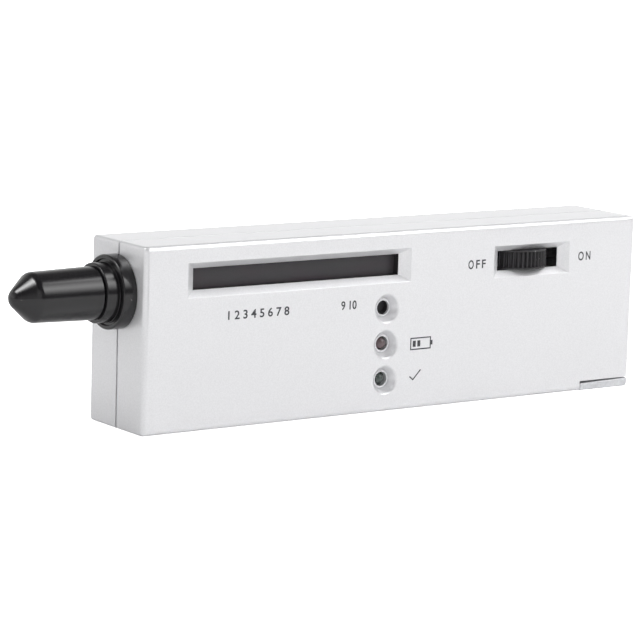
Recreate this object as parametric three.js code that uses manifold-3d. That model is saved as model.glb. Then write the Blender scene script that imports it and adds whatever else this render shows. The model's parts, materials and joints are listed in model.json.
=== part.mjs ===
// Diamond tester: a hand-held thermal probe instrument with a row of lamps, a thumbwheel and a slide-off door.
// Millimetres, +Z up. It stands on its long narrow side with the probe towards -X and the front panel towards -Y.
// Inside the instrument group x runs from the case's left end, y from its front face and z from its underside.
import * as THREE from "three";
import { mergeVertices } from "three/addons/utils/BufferGeometryUtils.js";
import Module from "manifold-3d";

const wasm = await Module();
wasm.setup();

// Fits shared by all pieces
const FIT = 0.3; // clearance between a piece and what holds it
const SEAT = 0.2; // gap under a piece that stands on the board
const OVERRUN = 1; // how far a cutter runs past the face that it cuts
const WELD = 0.0001; // vertices nearer than this are one
const ROUND_SIDES = 32;
const SMALL_SIDES = 12;
const QUARTER = Math.PI / 2;

// Case: its length, depth and height follow from what it holds, and are worked out below
const WALL = 2;
const EDGE_RADIUS = 1.2; // round of the front and back perimeter edges
const EDGE_STEPS = 3;
const SEAM_GAP = 0.3;
const LIP_DEPTH = 1.5;
const LIP_WALL = 0.8;

// Windows in the front panel
const WINDOW_BEVEL_LENGTH = 2.6;
const WINDOW_BEVEL_HEIGHT = 1.6;
const DISPLAY_MARGIN = 14.45; // from the left end of the case to the opening
const DISPLAY_DROP = 8.6; // from the top of the case to the middle of the opening
const DISPLAY_LENGTH = 60.1;
const DISPLAY_HEIGHT = 5.2;
const WHEEL_MARGIN = 33.85; // from the wheel's axis to the right end of the case
const WHEEL_WINDOW_LENGTH = 19.4;
const WHEEL_WINDOW_HEIGHT = 5;

// Sounder port and indicator recesses, one above the other
const INDICATOR_INSET = 4.45; // from the right end of the display's opening
const INDICATOR_MARGIN = 8; // from the underside to the lowest one
const INDICATOR_PITCH = 8.95;
const RECESS_RADIUS = 3.55;
const RECESS_FLOOR_RADIUS = 2.35;
const RECESS_DEPTH = 2.1;
const PORT_RADIUS = 1.8;
const PORT_RIM_WALL = 0.3;
const PORT_RIM_HEIGHT = 0.35;
const PORT_BOSS_RADIUS = 4;
const PORT_BOSS_DEPTH = 3.2; // from the front face to the back of the boss

// Display: bezel frame, smoked lens, lamp housing and lamps
const LENS_SETBACK = 4; // from the front face to the lens
const LENS_THICKNESS = 1.5;
const LENS_LAP = 0.6; // how far the lens reaches behind the bezel's frame
const BEZEL_FRAME = 1.5;
const BEZEL_DEPTH = 6; // from the front face to the back of the bezel
const LAMP_COUNT = 12;
const LAMP_ROW_MARGIN = 0.1; // left over at the ends of the row
const LAMP_WIDTH = 2;
const LAMP_HEIGHT = 5;
const LAMP_LENGTH = 7;
const LAMP_LEG = 0.5;
const LAMP_LEG_PITCH = 2.54;
const HOUSING_DEPTH = 6.6;

// Round indicator lamps
const INDICATOR_RADIUS = 1.5;
const INDICATOR_LENGTH = 5.2;
const INDICATOR_FLANGE_RADIUS = 1.9;
const INDICATOR_FLANGE = 1;
const BATTERY_LAMP_SETBACK = 2.2;
const READY_LAMP_SETBACK = 2.6;
const SPACER_RADIUS = 2.4;
const SPACER_BORE = 0.7;

// Sounder
const SOUNDER_RADIUS = 6;
const SOUNDER_HEIGHT = 9.5;
const SOUNDER_SPOUT_RADIUS = 1.2;
const SOUNDER_SPOUT_DEPTH = 2;
const SOUNDER_PIN_RADIUS = 0.4;
const SOUNDER_PIN_PITCH = 6.5;
const SOUNDER_PIN_LENGTH = 5;
const SOUNDER_GAP = 0.4; // to the bezel above it

// Thumbwheel and its potentiometer
const WHEEL_RADIUS = 9;
const WHEEL_PROUD = 0.5;
const WHEEL_SIDE_GAP = 0.2;
const WHEEL_RIBS = 50;
const RIB_SETBACK = 0.1; // from the plain bands to the ribs' tops
const RIB_DEPTH = 0.3;
const RIM_BAND = 0.6; // plain band at each edge of the wheel
const RIM_CHAMFER = 0.2;
const POT_RADIUS = 6;
const POT_HEIGHT = 4.1;
const POT_GAP = 0.5;
const POT_HEADROOM = 0.7;
const POT_WAFER_WIDTH = 10;
const POT_WAFER_THICKNESS = 1.2;
const ROTOR_RADIUS = 2;
const ROTOR_FLAT = 0.6;
const ROTOR_HEADROOM = 0.8;
const WHEEL_WEB = 0.8;
const WHEEL_SCREW_HEAD_RADIUS = 1.9;
const WHEEL_SCREW_HEAD = 0.9;
const WHEEL_SCREW_RADIUS = 0.8;
const WHEEL_SCREW_LENGTH = 3.4;
const WHEEL_SCREW_SLOT = 0.5;

// Main board
const BOARD_THICKNESS = 1.6;
const BOARD_STEP_MARGIN = 2.1; // beyond the capacitors
const BOARD_TAB_REACH = 13.05; // beyond the wheel's axis
const BOARD_WHEEL_GAP = 0.5;
const BOARD_EDGE_GAP = 0.8;
const BOARD_SCREW_HEAD_RADIUS = 2;
const BOARD_SCREW_HEAD = 1.3;
const BOARD_SCREW_RADIUS = 1;
const STANDOFF_RADIUS = 2.5;
const STANDOFF_HEIGHT = 2.1;
const BOARD_SCREW_INSET = 4;
const TAB_SCREW_INSET = 4.7; // from the outside of the battery bay

// Chips, trimmers, capacitors and resistors on the board
const CHIP_WIDTH = 6.4;
const CHIP_HEIGHT = 3.3;
const CHIP_PIN_PITCH = 2.54;
const CHIP_PIN_WIDTH = 0.5;
const CHIP_PIN_THICKNESS = 0.3;
const CHIP_STANDOFF = 0.7;
const CHIP_END = 1;
const CHIP_NOTCH = 0.9;
const AMPLIFIER_PINS = 7; // on each side
const DRIVER_PINS = 9;
const CHIP_RISE = 15.2; // from the board's lower edge to the middle of the chips
const TRIMMER_WIDTH = 6.8;
const TRIMMER_HEIGHT = 4.5;
const TRIMMER_SCREW_RADIUS = 2.2;
const TRIMMER_SCREW_HEIGHT = 0.5;
const TRIMMER_SLOT = 0.6;
const TRIMMER_PITCH = 12;
const CAPACITOR_RADIUS = 2.5;
const CAPACITOR_HEIGHT = 7;
const CAPACITOR_CRIMP = 0.3;
const CAPACITOR_PITCH = 6.5;
const RESISTOR_RADIUS = 1.15;
const RESISTOR_WAIST = 0.15;
const RESISTOR_LENGTH = 6.3;
const RESISTOR_LEAD = 0.6;
const RESISTOR_LEAD_REACH = 2;
const RESISTOR_RISE = 3.2; // from the board's lower edge
const COLUMN_SHARES = [0.15, 0.38, 0.61, 0.86]; // of the board's way from its left edge to the sounder

// Case screws and their posts
const SCREW_HEAD_RADIUS = 2.6;
const SCREW_HEAD = 1.7;
const SCREW_RADIUS = 1.25;
const SCREW_LENGTH = 15;
const SCREW_CROSS = 0.8;
const SCREW_CROSS_DEPTH = 0.9;
const SCREW_SEAT_DEPTH = 2.4; // from the back face to the head's seat
const POST_RADIUS = 2.9;
const POST_PAD = 2.2; // plastic left under the head
const POST_INSET = 7.5;
const PAD_WALL = 1.2; // round the head
const POST_BOARD_GAP = 1;
const POST_BAY_GAP = 0.6;
const POST_TAB_GAP = 2.9; // below the board's tab
const POST_RIGHT_INSET = 10.3;
const POST_TOP_INSET = 7.5;

// Battery, its bay and its connector
const BATTERY_LENGTH = 46.4;
const BATTERY_WIDTH = 26.5;
const BATTERY_THICKNESS = 17.5;
const BATTERY_CORNER = 2;
const BAY_CLEARANCE = 0.5;
const BAY_WALL = 1.2;
const BAY_PAD = 0.8; // foam on the door
const BAY_WHEEL_GAP = 1.4; // between the bay's ceiling and the wheel
const RAIL_WIDTH = 1.2;
const RAIL_HEIGHT = 0.95;
const RAIL_PLACE_SHARES = [0.15, 0.55];
const TERMINAL_HEIGHT = 2.1;
const TERMINAL_RADIUS = 2.75;
const TERMINAL_CUP_RADIUS = 4.1;
const TERMINAL_PITCH = 12.7;
const CONNECTOR_WIDTH = 13;
const CONNECTOR_INSET = 0.25; // from the battery's narrow sides
const CONNECTOR_THICKNESS = 2.4;
const CONNECTOR_GAP = 0.5;

// Battery door
const NOTCH_LENGTH = 16.2;
const NOTCH_HEIGHT = 2.5;
const TONGUE_ROOT_HEIGHT = 2.25;
const TONGUE_TIP_HEIGHT = 1.9;
const TONGUE_CORNER = 0.5;
const TONGUE_INSET = 0.15;
const HOOK_LENGTH = 3;
const HOOK_THICKNESS = 0.7;
const HOOK_WIDTH = 12;

// Probe, along an axis that leaves the left end of the case
const PROBE_DROP = 11.95; // from the top of the case to the axis
const FLANGE_RADIUS = 8.93;
const FLANGE_LENGTH = 3.66;
const FLANGE_ROUND = 0.35;
const NECK_RADIUS = 7.18;
const NECK_LENGTH = 3.38;
const NECK_ROUND = 0.25;
const SPIGOT_RADIUS = 5;
const SPIGOT_LENGTH = 3.4;
const COLLAR_SHAFT_RADIUS = 6;
const COLLAR_KEEPER_RADIUS = 8;
const COLLAR_KEEPER = 2;
const NOSE_RADIUS = 3.9;
const NOSE_WALL = 0.9;
const NOSE_TIP_RADIUS = 1.7;
const NOSE_LENGTH = 22.5; // from the end face of the case to the front of the nose
const NOSE_TAPER = 9;
const NOSE_SHOULDER = 7.5;
const NOSE_REAR = 8;
const NOSE_KEEPER_RADIUS = 5.6;
const NOSE_KEEPER = 1.5;
const TIP_RADIUS = 0.6;
const TIP_REACH = 2.7; // beyond the nose
const TIP_DISC = 0.8;
const TIP_STUB = 1.2;
const TIP_POINT = 1.2;
const HEATER_LENGTH = 4.2;
const SPRING_WIRE_RADIUS = 0.22;
const SPRING_TURNS = 5;
const SPRING_STEPS = 8; // in one turn
const SPRING_SIDES = 5;
const PLUG_HEAD = 1;
const PLUG_LENGTH = 3.5;
const CAP_TIP_RADIUS = 3;
const CAP_HALF_ANGLE = (42 * Math.PI) / 180;
const CAP_SHOULDER_RADIUS = 6;
const CAP_SHOULDER_ROUND = 2.6;
const CAP_MOUTH_RADIUS = 6.38;
const CAP_WALL = 1.1;
const CAP_SEAT = 0.15;
const CAP_TIP_ROOM = 2.05; // between the probe's tip and the cap
const CAP_TIP_STEPS = 5;

// Wires inside the case
const WIRE_RADIUS = 0.7;
const PROBE_WIRE_RADIUS = 0.45;
const WIRE_SIDES = 8;
const WIRE_STEPS = 14;
const WIRE_PITCH = 4;
const WIRE_BOARD_INSET = 3;
const PROBE_WIRE_PITCH = 2.6;
const PROBE_WIRE_ROOM = 5; // between the probe's plug and the board
const PROBE_WIRE_BOARD_INSET = 3;
const PROBE_WIRE_DROP = 4.5;

// The case's height takes the taller of two stacks: the battery with the wheel and potentiometer above it,
// or the indicators with the sounder and display above them
const wheelThickness = WHEEL_WINDOW_HEIGHT - 2 * WHEEL_SIDE_GAP;
const wheelDrop = WALL + POT_HEADROOM + POT_HEIGHT + POT_GAP + wheelThickness / 2;
const batteryBottom = NOTCH_HEIGHT + HOOK_THICKNESS + FIT;
const batteryTop = batteryBottom + BATTERY_WIDTH;
const batteryMiddle = (batteryBottom + batteryTop) / 2;
const bayTop = batteryTop + BAY_CLEARANCE;
const batteryStack = bayTop + BAY_WALL + BAY_WHEEL_GAP + wheelThickness / 2 + wheelDrop;
const sounderDrop = DISPLAY_DROP + DISPLAY_HEIGHT / 2 + BEZEL_FRAME + SOUNDER_GAP + SOUNDER_RADIUS;
const lampStack = INDICATOR_MARGIN + 2 * INDICATOR_PITCH + sounderDrop;
const caseHeight = Math.max(batteryStack, lampStack);

// Its depth takes the deepest of the sounder or the wheel before the board, or the battery between its rails
const sounderDepth = PORT_BOSS_DEPTH + FIT + SOUNDER_HEIGHT + SOUNDER_PIN_LENGTH;
const wheelDepth = 2 * WHEEL_RADIUS - WHEEL_PROUD + BOARD_WHEEL_GAP;
const behindBoard = BOARD_THICKNESS + FIT + STANDOFF_HEIGHT + WALL;
const batteryDepth = BATTERY_THICKNESS + 2 * (FIT + RAIL_HEIGHT + WALL);
const caseDepth = Math.max(sounderDepth + behindBoard, wheelDepth + behindBoard, batteryDepth);
const seamY = caseDepth / 2;
const boardY = caseDepth - behindBoard;
const boardBack = boardY + BOARD_THICKNESS;

// Its length runs through the display, the board, a post and the battery bay to the door
const displayLeft = DISPLAY_MARGIN;
const displayRight = displayLeft + DISPLAY_LENGTH;
const indicatorX = displayRight - INDICATOR_INSET;
const capacitorX = indicatorX + SOUNDER_RADIUS + FIT + CAPACITOR_RADIUS;
const boardLeft = NOSE_REAR + PLUG_HEAD + PROBE_WIRE_ROOM;
const boardStep = capacitorX + CAPACITOR_RADIUS + BOARD_STEP_MARGIN;
const padRadius = SCREW_HEAD_RADIUS + FIT + PAD_WALL;
const postX = boardStep + POST_BOARD_GAP + padRadius;
const bayLeft = postX + padRadius + POST_BAY_GAP;
const connectorLeft = bayLeft + BAY_WALL + CONNECTOR_GAP;
const batteryLeft = connectorLeft + CONNECTOR_THICKNESS + TERMINAL_HEIGHT + FIT;
const caseLength = batteryLeft + BATTERY_LENGTH + FIT + BAY_PAD + WALL;
const boardTop = caseHeight - WALL - BOARD_EDGE_GAP;
const boardBottom = WALL + BOARD_EDGE_GAP;
const boardTabBottom = bayTop + BAY_WALL + BOARD_EDGE_GAP;

// Places on the front panel and of the probe
const displayX = (displayLeft + displayRight) / 2;
const displayZ = caseHeight - DISPLAY_DROP;
const displayLow = displayZ - DISPLAY_HEIGHT / 2;
const displayHigh = displayZ + DISPLAY_HEIGHT / 2;
const indicatorPlaces = [2, 1, 0].map((below) => caseHeight - sounderDrop - below * INDICATOR_PITCH);
const wheelX = caseLength - WHEEL_MARGIN;
const wheelY = WHEEL_RADIUS - WHEEL_PROUD;
const wheelZ = caseHeight - wheelDrop;
const probeZ = caseHeight - PROBE_DROP;
const capReach = NOSE_LENGTH + TIP_REACH + CAP_TIP_ROOM + CAP_WALL + CAP_TIP_RADIUS / 4;

// Colours with roughness and metalness
const finish = (color, roughness, metalness = 0) =>
  new THREE.MeshStandardMaterial({ color, roughness, metalness });
const casePlastic = () => finish(0xe4e5e7, 0.55);
const blackPlastic = () => finish(0x232224, 0.28);
const mattBlack = () => finish(0x2a292b, 0.6);
const steel = () => finish(0xb9bbbd, 0.35, 1);
const brass = () => finish(0xc9a75a, 0.35, 1);
const copper = () => finish(0xb87349, 0.3, 1);

// Solids from three.js geometries
function solidOf(geometry) {
  const loose = geometry.index ? geometry.toNonIndexed() : geometry;
  const bare = new THREE.BufferGeometry();
  bare.setAttribute("position", loose.getAttribute("position"));
  const welded = mergeVertices(bare, WELD);
  return new wasm.Manifold(
    new wasm.Mesh({
      numProp: 3,
      vertProperties: welded.getAttribute("position").array,
      triVerts: new Uint32Array(welded.index.array),
    }),
  );
}

function geometryOf(solid) {
  const mesh = solid.getMesh();
  const geometry = new THREE.BufferGeometry();
  geometry.setAttribute("position", new THREE.BufferAttribute(mesh.vertProperties, mesh.numProp));
  geometry.setIndex(new THREE.BufferAttribute(mesh.triVerts, 1));
  geometry.computeVertexNormals();
  return geometry;
}

const joined = (solids) => solids.reduce((whole, piece) => whole.add(piece));
const cutBy = (solid, cutters) => cutters.reduce((left, cutter) => left.subtract(cutter), solid);

function block(x0, x1, y0, y1, z0, z1) {
  const geometry = new THREE.BoxGeometry(x1 - x0, y1 - y0, z1 - z0);
  geometry.translate((x0 + x1) / 2, (y0 + y1) / 2, (z0 + z1) / 2);
  return solidOf(geometry);
}

// A round bar or cone along +Y from y0 to y1, about the axis at x and z
function barY(x, z, y0, y1, radius, endRadius = radius, sides = SMALL_SIDES) {
  const geometry = new THREE.CylinderGeometry(endRadius, radius, y1 - y0, sides);
  geometry.translate(x, (y0 + y1) / 2, z);
  return solidOf(geometry);
}

function barX(y, z, x0, x1, radius, sides = SMALL_SIDES) {
  const geometry = new THREE.CylinderGeometry(radius, radius, x1 - x0, sides);
  geometry.rotateZ(-QUARTER);
  geometry.translate((x0 + x1) / 2, y, z);
  return solidOf(geometry);
}

function barZ(x, y, z0, z1, radius, sides = SMALL_SIDES) {
  const geometry = new THREE.CylinderGeometry(radius, radius, z1 - z0, sides);
  geometry.rotateX(QUARTER);
  geometry.translate(x, y, (z0 + z1) / 2);
  return solidOf(geometry);
}

// A profile of [radius, height] pairs, anticlockwise, turned about +Y
function turned(profile, sides = ROUND_SIDES) {
  const points = profile.map(([radius, height]) => new THREE.Vector2(radius, height));
  return solidOf(new THREE.LatheGeometry(points, sides));
}

// Points of an arc about (radius, height), from one angle to another
function arc(radius, height, size, from, to, steps) {
  const points = [];
  for (let i = 0; i <= steps; i++) {
    const angle = from + ((to - from) * i) / steps;
    points.push([radius + size * Math.cos(angle), height + size * Math.sin(angle)]);
  }
  return points;
}

function wire(points, radius) {
  const section = new THREE.Shape();
  section.absarc(0, 0, radius, 0, 2 * Math.PI, false);
  const path = new THREE.CatmullRomCurve3(points.map((p) => new THREE.Vector3(...p)));
  return solidOf(
    new THREE.ExtrudeGeometry(section, {
      steps: WIRE_STEPS,
      extrudePath: path,
      curveSegments: WIRE_SIDES / 2,
    }),
  );
}

function addPiece(parent, name, solid, material) {
  const mesh = new THREE.Mesh(geometryOf(solid), material);
  mesh.name = name;
  parent.add(mesh);
  return mesh;
}

// Case shells
function roundedCase() {
  const inset = EDGE_RADIUS;
  const outline = new THREE.Shape();
  outline.moveTo(inset, inset);
  outline.lineTo(caseLength - inset, inset);
  outline.lineTo(caseLength - inset, caseHeight - inset);
  outline.lineTo(inset, caseHeight - inset);
  outline.closePath();
  const geometry = new THREE.ExtrudeGeometry(outline, {
    depth: caseDepth - 2 * EDGE_RADIUS,
    bevelEnabled: true,
    bevelThickness: EDGE_RADIUS,
    bevelSize: EDGE_RADIUS,
    bevelSegments: EDGE_STEPS,
  });
  geometry.rotateX(QUARTER);
  geometry.translate(0, caseDepth - EDGE_RADIUS, 0);
  return solidOf(geometry);
}

// The case's cross-section drawn in by an inset, between two depths
function caseSlab(inset, y0, y1) {
  return block(inset, caseLength - inset, y0, y1, inset, caseHeight - inset);
}

// A window: bevelled through the wall, straight behind it
function windowCutter(x, z, length, height) {
  const bevel = new THREE.BoxGeometry(1, 1, 1);
  const places = bevel.getAttribute("position");
  for (let i = 0; i < places.count; i++) {
    const front = places.getY(i) < 0;
    const halfLength = length / 2 + (front ? WINDOW_BEVEL_LENGTH : 0);
    const halfHeight = height / 2 + (front ? WINDOW_BEVEL_HEIGHT : 0);
    places.setX(i, x + 2 * places.getX(i) * halfLength);
    places.setZ(i, z + 2 * places.getZ(i) * halfHeight);
    places.setY(i, front ? 0 : WALL);
  }
  const tunnel = block(
    x - length / 2,
    x + length / 2,
    -OVERRUN,
    WALL + OVERRUN,
    z - height / 2,
    z + height / 2,
  );
  return solidOf(bevel).add(tunnel);
}

function portBoss(z) {
  return barY(indicatorX, z, WALL / 2, PORT_BOSS_DEPTH, PORT_BOSS_RADIUS);
}

// A conical recess with a thin rim that stands round the port at its floor
function portCutter(z) {
  const cone = barY(indicatorX, z, 0, RECESS_DEPTH, RECESS_RADIUS, RECESS_FLOOR_RADIUS, ROUND_SIDES);
  const rimTop = RECESS_DEPTH - PORT_RIM_HEIGHT;
  const rimRadius = PORT_RADIUS + PORT_RIM_WALL;
  const rim = barY(indicatorX, z, rimTop, RECESS_DEPTH + OVERRUN, rimRadius, rimRadius, ROUND_SIDES);
  const portBack = PORT_BOSS_DEPTH + OVERRUN;
  const port = barY(indicatorX, z, -OVERRUN, portBack, PORT_RADIUS, PORT_RADIUS, ROUND_SIDES);
  return cone.subtract(rim).add(port);
}

const postPlaces = [
  [POST_INSET, POST_INSET],
  [postX, POST_INSET],
  [postX, boardTabBottom - POST_TAB_GAP - padRadius],
  [caseLength - POST_RIGHT_INSET, caseHeight - POST_TOP_INSET],
];
const postBore = ([x, z]) => barY(x, z, WALL + OVERRUN, caseDepth + OVERRUN, SCREW_RADIUS + FIT);
const headSeatY = caseDepth - SCREW_SEAT_DEPTH;

const notchCutter = () =>
  block(
    caseLength - NOTCH_LENGTH,
    caseLength + OVERRUN,
    -OVERRUN,
    caseDepth + OVERRUN,
    -OVERRUN,
    NOTCH_HEIGHT,
  );

// The bay's opening in the right end, which the battery passes
const bayHalfDepth = BATTERY_THICKNESS / 2 + BAY_CLEARANCE;
const bayDoorway = () =>
  block(
    caseLength - WALL - OVERRUN,
    caseLength + OVERRUN,
    seamY - bayHalfDepth,
    seamY + bayHalfDepth,
    -OVERRUN,
    bayTop,
  );

const railPlaces = RAIL_PLACE_SHARES.map((share) => batteryLeft + share * BATTERY_LENGTH);

// Rails that hold the battery off one cover's wall and off the floor
function batteryRails(wallY, railY, rimY) {
  const [wallFrom, wallTo] = [Math.min(wallY, railY), Math.max(wallY, railY)];
  const [floorFrom, floorTo] = [Math.min(wallY, rimY), Math.max(wallY, rimY)];
  return railPlaces.flatMap((x) => [
    block(x, x + RAIL_WIDTH, wallFrom, wallTo, WALL / 2, batteryTop - BATTERY_CORNER),
    block(x, x + RAIL_WIDTH, floorFrom, floorTo, WALL / 2, batteryBottom - FIT),
  ]);
}

function frontCover() {
  const seam = seamY - SEAM_GAP / 2;
  const railY = seamY - BATTERY_THICKNESS / 2 - FIT;
  const shell = roundedCase()
    .intersect(caseSlab(-OVERRUN, -OVERRUN, seam))
    .subtract(caseSlab(WALL, WALL, caseDepth));
  const rebate = caseSlab(WALL - LIP_WALL - FIT, seam - LIP_DEPTH - FIT, caseDepth);
  const whole = joined([
    shell.subtract(rebate),
    ...postPlaces.map(([x, z]) => barY(x, z, WALL / 2, seam - LIP_DEPTH, POST_RADIUS)),
    ...indicatorPlaces.map(portBoss),
    ...batteryRails(WALL / 2, railY, seam - LIP_DEPTH - FIT),
  ]);
  return cutBy(whole, [
    windowCutter(displayX, displayZ, DISPLAY_LENGTH, DISPLAY_HEIGHT),
    windowCutter(wheelX, wheelZ, WHEEL_WINDOW_LENGTH, WHEEL_WINDOW_HEIGHT),
    ...indicatorPlaces.map(portCutter),
    ...postPlaces.map(postBore),
    notchCutter(),
    bayDoorway(),
    barX(seamY, probeZ, -OVERRUN, WALL + OVERRUN, COLLAR_SHAFT_RADIUS + FIT, ROUND_SIDES),
  ]);
}

// The bay's left wall and ceiling, moulded with the back cover and reaching past the seam
function bayWalls() {
  const front = WALL + FIT;
  const back = caseDepth - WALL / 2;
  const low = WALL + FIT;
  const right = caseLength - WALL - FIT;
  const wall = block(bayLeft, bayLeft + BAY_WALL, front, back, low, bayTop + BAY_WALL);
  const ceiling = block(bayLeft, right, front, back, bayTop, bayTop + BAY_WALL);
  const wirePass = block(
    bayLeft - OVERRUN,
    bayLeft + BAY_WALL + OVERRUN,
    front - OVERRUN,
    seamY + WIRE_RADIUS + FIT,
    batteryMiddle - WIRE_PITCH / 2 - WIRE_RADIUS - FIT,
    batteryMiddle + WIRE_PITCH / 2 + WIRE_RADIUS + FIT,
  );
  return wall.subtract(wirePass).add(ceiling);
}

function backPost([x, z]) {
  const padFront = headSeatY - POST_PAD;
  const pad = barY(x, z, padFront, caseDepth - WALL / 2, padRadius);
  return pad.add(barY(x, z, seamY - LIP_DEPTH + FIT, caseDepth - WALL / 2, POST_RADIUS));
}

const boardScrewPlaces = [
  [boardLeft + BOARD_SCREW_INSET, boardBottom + BOARD_SCREW_INSET],
  [boardStep - BOARD_SCREW_INSET, boardBottom + BOARD_SCREW_INSET],
  [bayLeft + TAB_SCREW_INSET, (boardTop + boardTabBottom) / 2],
];

function backCover() {
  const seam = seamY + SEAM_GAP / 2;
  const railY = seamY + BATTERY_THICKNESS / 2 + FIT;
  const lipInset = WALL - LIP_WALL;
  const lipFront = seamY - LIP_DEPTH;
  const shell = roundedCase().intersect(caseSlab(-OVERRUN, seam, caseDepth + OVERRUN));
  const lip = caseSlab(lipInset, lipFront, seam + OVERRUN);
  const hollow = caseSlab(WALL, -OVERRUN, caseDepth - WALL);
  const standoffFront = boardBack + FIT;
  const whole = joined([
    shell.add(lip).subtract(hollow),
    bayWalls(),
    ...postPlaces.map(backPost),
    ...boardScrewPlaces.map(([x, z]) => barY(x, z, standoffFront, caseDepth - WALL / 2, STANDOFF_RADIUS)),
    ...batteryRails(caseDepth - WALL / 2, railY, seam),
  ]);
  const headRadius = SCREW_HEAD_RADIUS + FIT;
  const boardScrewBore = ([x, z]) => barY(x, z, WALL, caseDepth - WALL, BOARD_SCREW_RADIUS + FIT);
  return cutBy(whole, [
    ...postPlaces.map(postBore),
    ...postPlaces.map(([x, z]) => barY(x, z, headSeatY, caseDepth + OVERRUN, headRadius)),
    ...boardScrewPlaces.map(boardScrewBore),
    notchCutter(),
    bayDoorway(),
    barX(seamY, probeZ, -OVERRUN, WALL + OVERRUN, COLLAR_SHAFT_RADIUS + FIT, ROUND_SIDES),
  ]);
}

// A pan-headed screw along -Y, with the head's seat at y zero and a cross in its head
function screw(headRadius, head, radius, length) {
  const body = turned([
    [0, -length],
    [radius / 2, -length],
    [radius, -length + radius],
    [radius, 0],
    [headRadius, 0],
    [headRadius, head / 2],
    [headRadius - head / 2, head],
    [0, head],
  ], SMALL_SIDES);
  const arm = headRadius / 2;
  const half = (SCREW_CROSS * headRadius) / SCREW_HEAD_RADIUS / 2;
  const floor = head - SCREW_CROSS_DEPTH * (head / SCREW_HEAD);
  return cutBy(body, [
    block(-arm, arm, floor, head + OVERRUN, -half, half),
    block(-half, half, floor, head + OVERRUN, -arm, arm),
  ]);
}

function addCaseScrews(parent) {
  postPlaces.forEach(([x, z], place) => {
    const solid = screw(SCREW_HEAD_RADIUS, SCREW_HEAD, SCREW_RADIUS, SCREW_LENGTH);
    const mesh = addPiece(parent, `case_screw_${place + 1}`, solid, steel());
    mesh.position.set(x, headSeatY + FIT / 2, z);
  });
}

// Battery door: an end plate in the doorway and a tongue along the underside
function batteryDoor() {
  const left = caseLength - NOTCH_LENGTH + FIT;
  const outline = new THREE.Shape();
  outline.moveTo(left, 0);
  outline.lineTo(caseLength - TONGUE_CORNER, 0);
  outline.absarc(caseLength - TONGUE_CORNER, TONGUE_CORNER, TONGUE_CORNER, -QUARTER, 0, false);
  outline.lineTo(caseLength, TONGUE_ROOT_HEIGHT);
  outline.lineTo(left, TONGUE_TIP_HEIGHT);
  outline.closePath();
  const depth = caseDepth - 2 * TONGUE_INSET;
  const geometry = new THREE.ExtrudeGeometry(outline, {
    depth,
    bevelEnabled: false,
    curveSegments: EDGE_STEPS,
  });
  geometry.rotateX(QUARTER);
  geometry.translate(0, caseDepth - TONGUE_INSET, 0);
  const plate = block(
    caseLength - WALL,
    caseLength,
    seamY - bayHalfDepth + FIT,
    seamY + bayHalfDepth - FIT,
    TONGUE_CORNER,
    bayTop - FIT,
  );
  const hookTop = NOTCH_HEIGHT + HOOK_THICKNESS;
  const hook = block(
    left - HOOK_LENGTH,
    left + HOOK_LENGTH,
    seamY - HOOK_WIDTH / 2,
    seamY + HOOK_WIDTH / 2,
    WALL + FIT,
    hookTop - FIT / 2,
  );
  const stem = block(
    left,
    left + HOOK_LENGTH,
    seamY - HOOK_WIDTH / 2,
    seamY + HOOK_WIDTH / 2,
    TONGUE_TIP_HEIGHT / 2,
    hookTop - FIT / 2,
  );
  return joined([solidOf(geometry).intersect(roundedCase()), plate, hook, stem]);
}

function batteryPad() {
  const half = BATTERY_THICKNESS / 2 - BATTERY_CORNER;
  return block(
    caseLength - WALL - BAY_PAD,
    caseLength - WALL,
    seamY - half,
    seamY + half,
    batteryBottom + BATTERY_CORNER,
    batteryTop - BATTERY_CORNER,
  );
}

// Battery with its two snap terminals, and the connector that clips on them
const upperTerminal = batteryMiddle + TERMINAL_PITCH / 2;
const lowerTerminal = batteryMiddle - TERMINAL_PITCH / 2;

function roundedBar(width, height, radius, length) {
  const [x, y] = [width / 2, height / 2];
  const outline = new THREE.Shape();
  outline.absarc(x - radius, y - radius, radius, 0, QUARTER, false);
  outline.absarc(radius - x, y - radius, radius, QUARTER, 2 * QUARTER, false);
  outline.absarc(radius - x, radius - y, radius, 2 * QUARTER, 3 * QUARTER, false);
  outline.absarc(x - radius, radius - y, radius, 3 * QUARTER, 4 * QUARTER, false);
  outline.closePath();
  const geometry = new THREE.ExtrudeGeometry(outline, {
    depth: length,
    bevelEnabled: false,
    curveSegments: EDGE_STEPS,
  });
  geometry.rotateX(QUARTER);
  geometry.rotateZ(QUARTER);
  return geometry;
}

function snapCup(z, x0, x1) {
  const outer = barX(seamY, z, x0, x1, TERMINAL_CUP_RADIUS);
  return outer.subtract(barX(seamY, z, x0 - OVERRUN, x1 + OVERRUN, TERMINAL_RADIUS + FIT));
}

function battery() {
  const geometry = roundedBar(BATTERY_THICKNESS, BATTERY_WIDTH, BATTERY_CORNER, BATTERY_LENGTH);
  geometry.translate(batteryLeft, seamY, batteryMiddle);
  const tip = batteryLeft - TERMINAL_HEIGHT;
  return joined([
    solidOf(geometry),
    barX(seamY, upperTerminal, tip, batteryLeft, TERMINAL_RADIUS),
    snapCup(lowerTerminal, tip, batteryLeft),
  ]);
}

function snapConnector() {
  const length = BATTERY_WIDTH - 2 * CONNECTOR_INSET;
  const geometry = roundedBar(CONNECTOR_WIDTH, length, CONNECTOR_WIDTH / 4, CONNECTOR_THICKNESS);
  geometry.translate(connectorLeft, seamY, batteryMiddle);
  const face = connectorLeft + CONNECTOR_THICKNESS;
  return joined([
    solidOf(geometry),
    snapCup(upperTerminal, face, face + TERMINAL_HEIGHT),
    barX(seamY, lowerTerminal, face, face + TERMINAL_HEIGHT, TERMINAL_RADIUS),
  ]);
}

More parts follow.
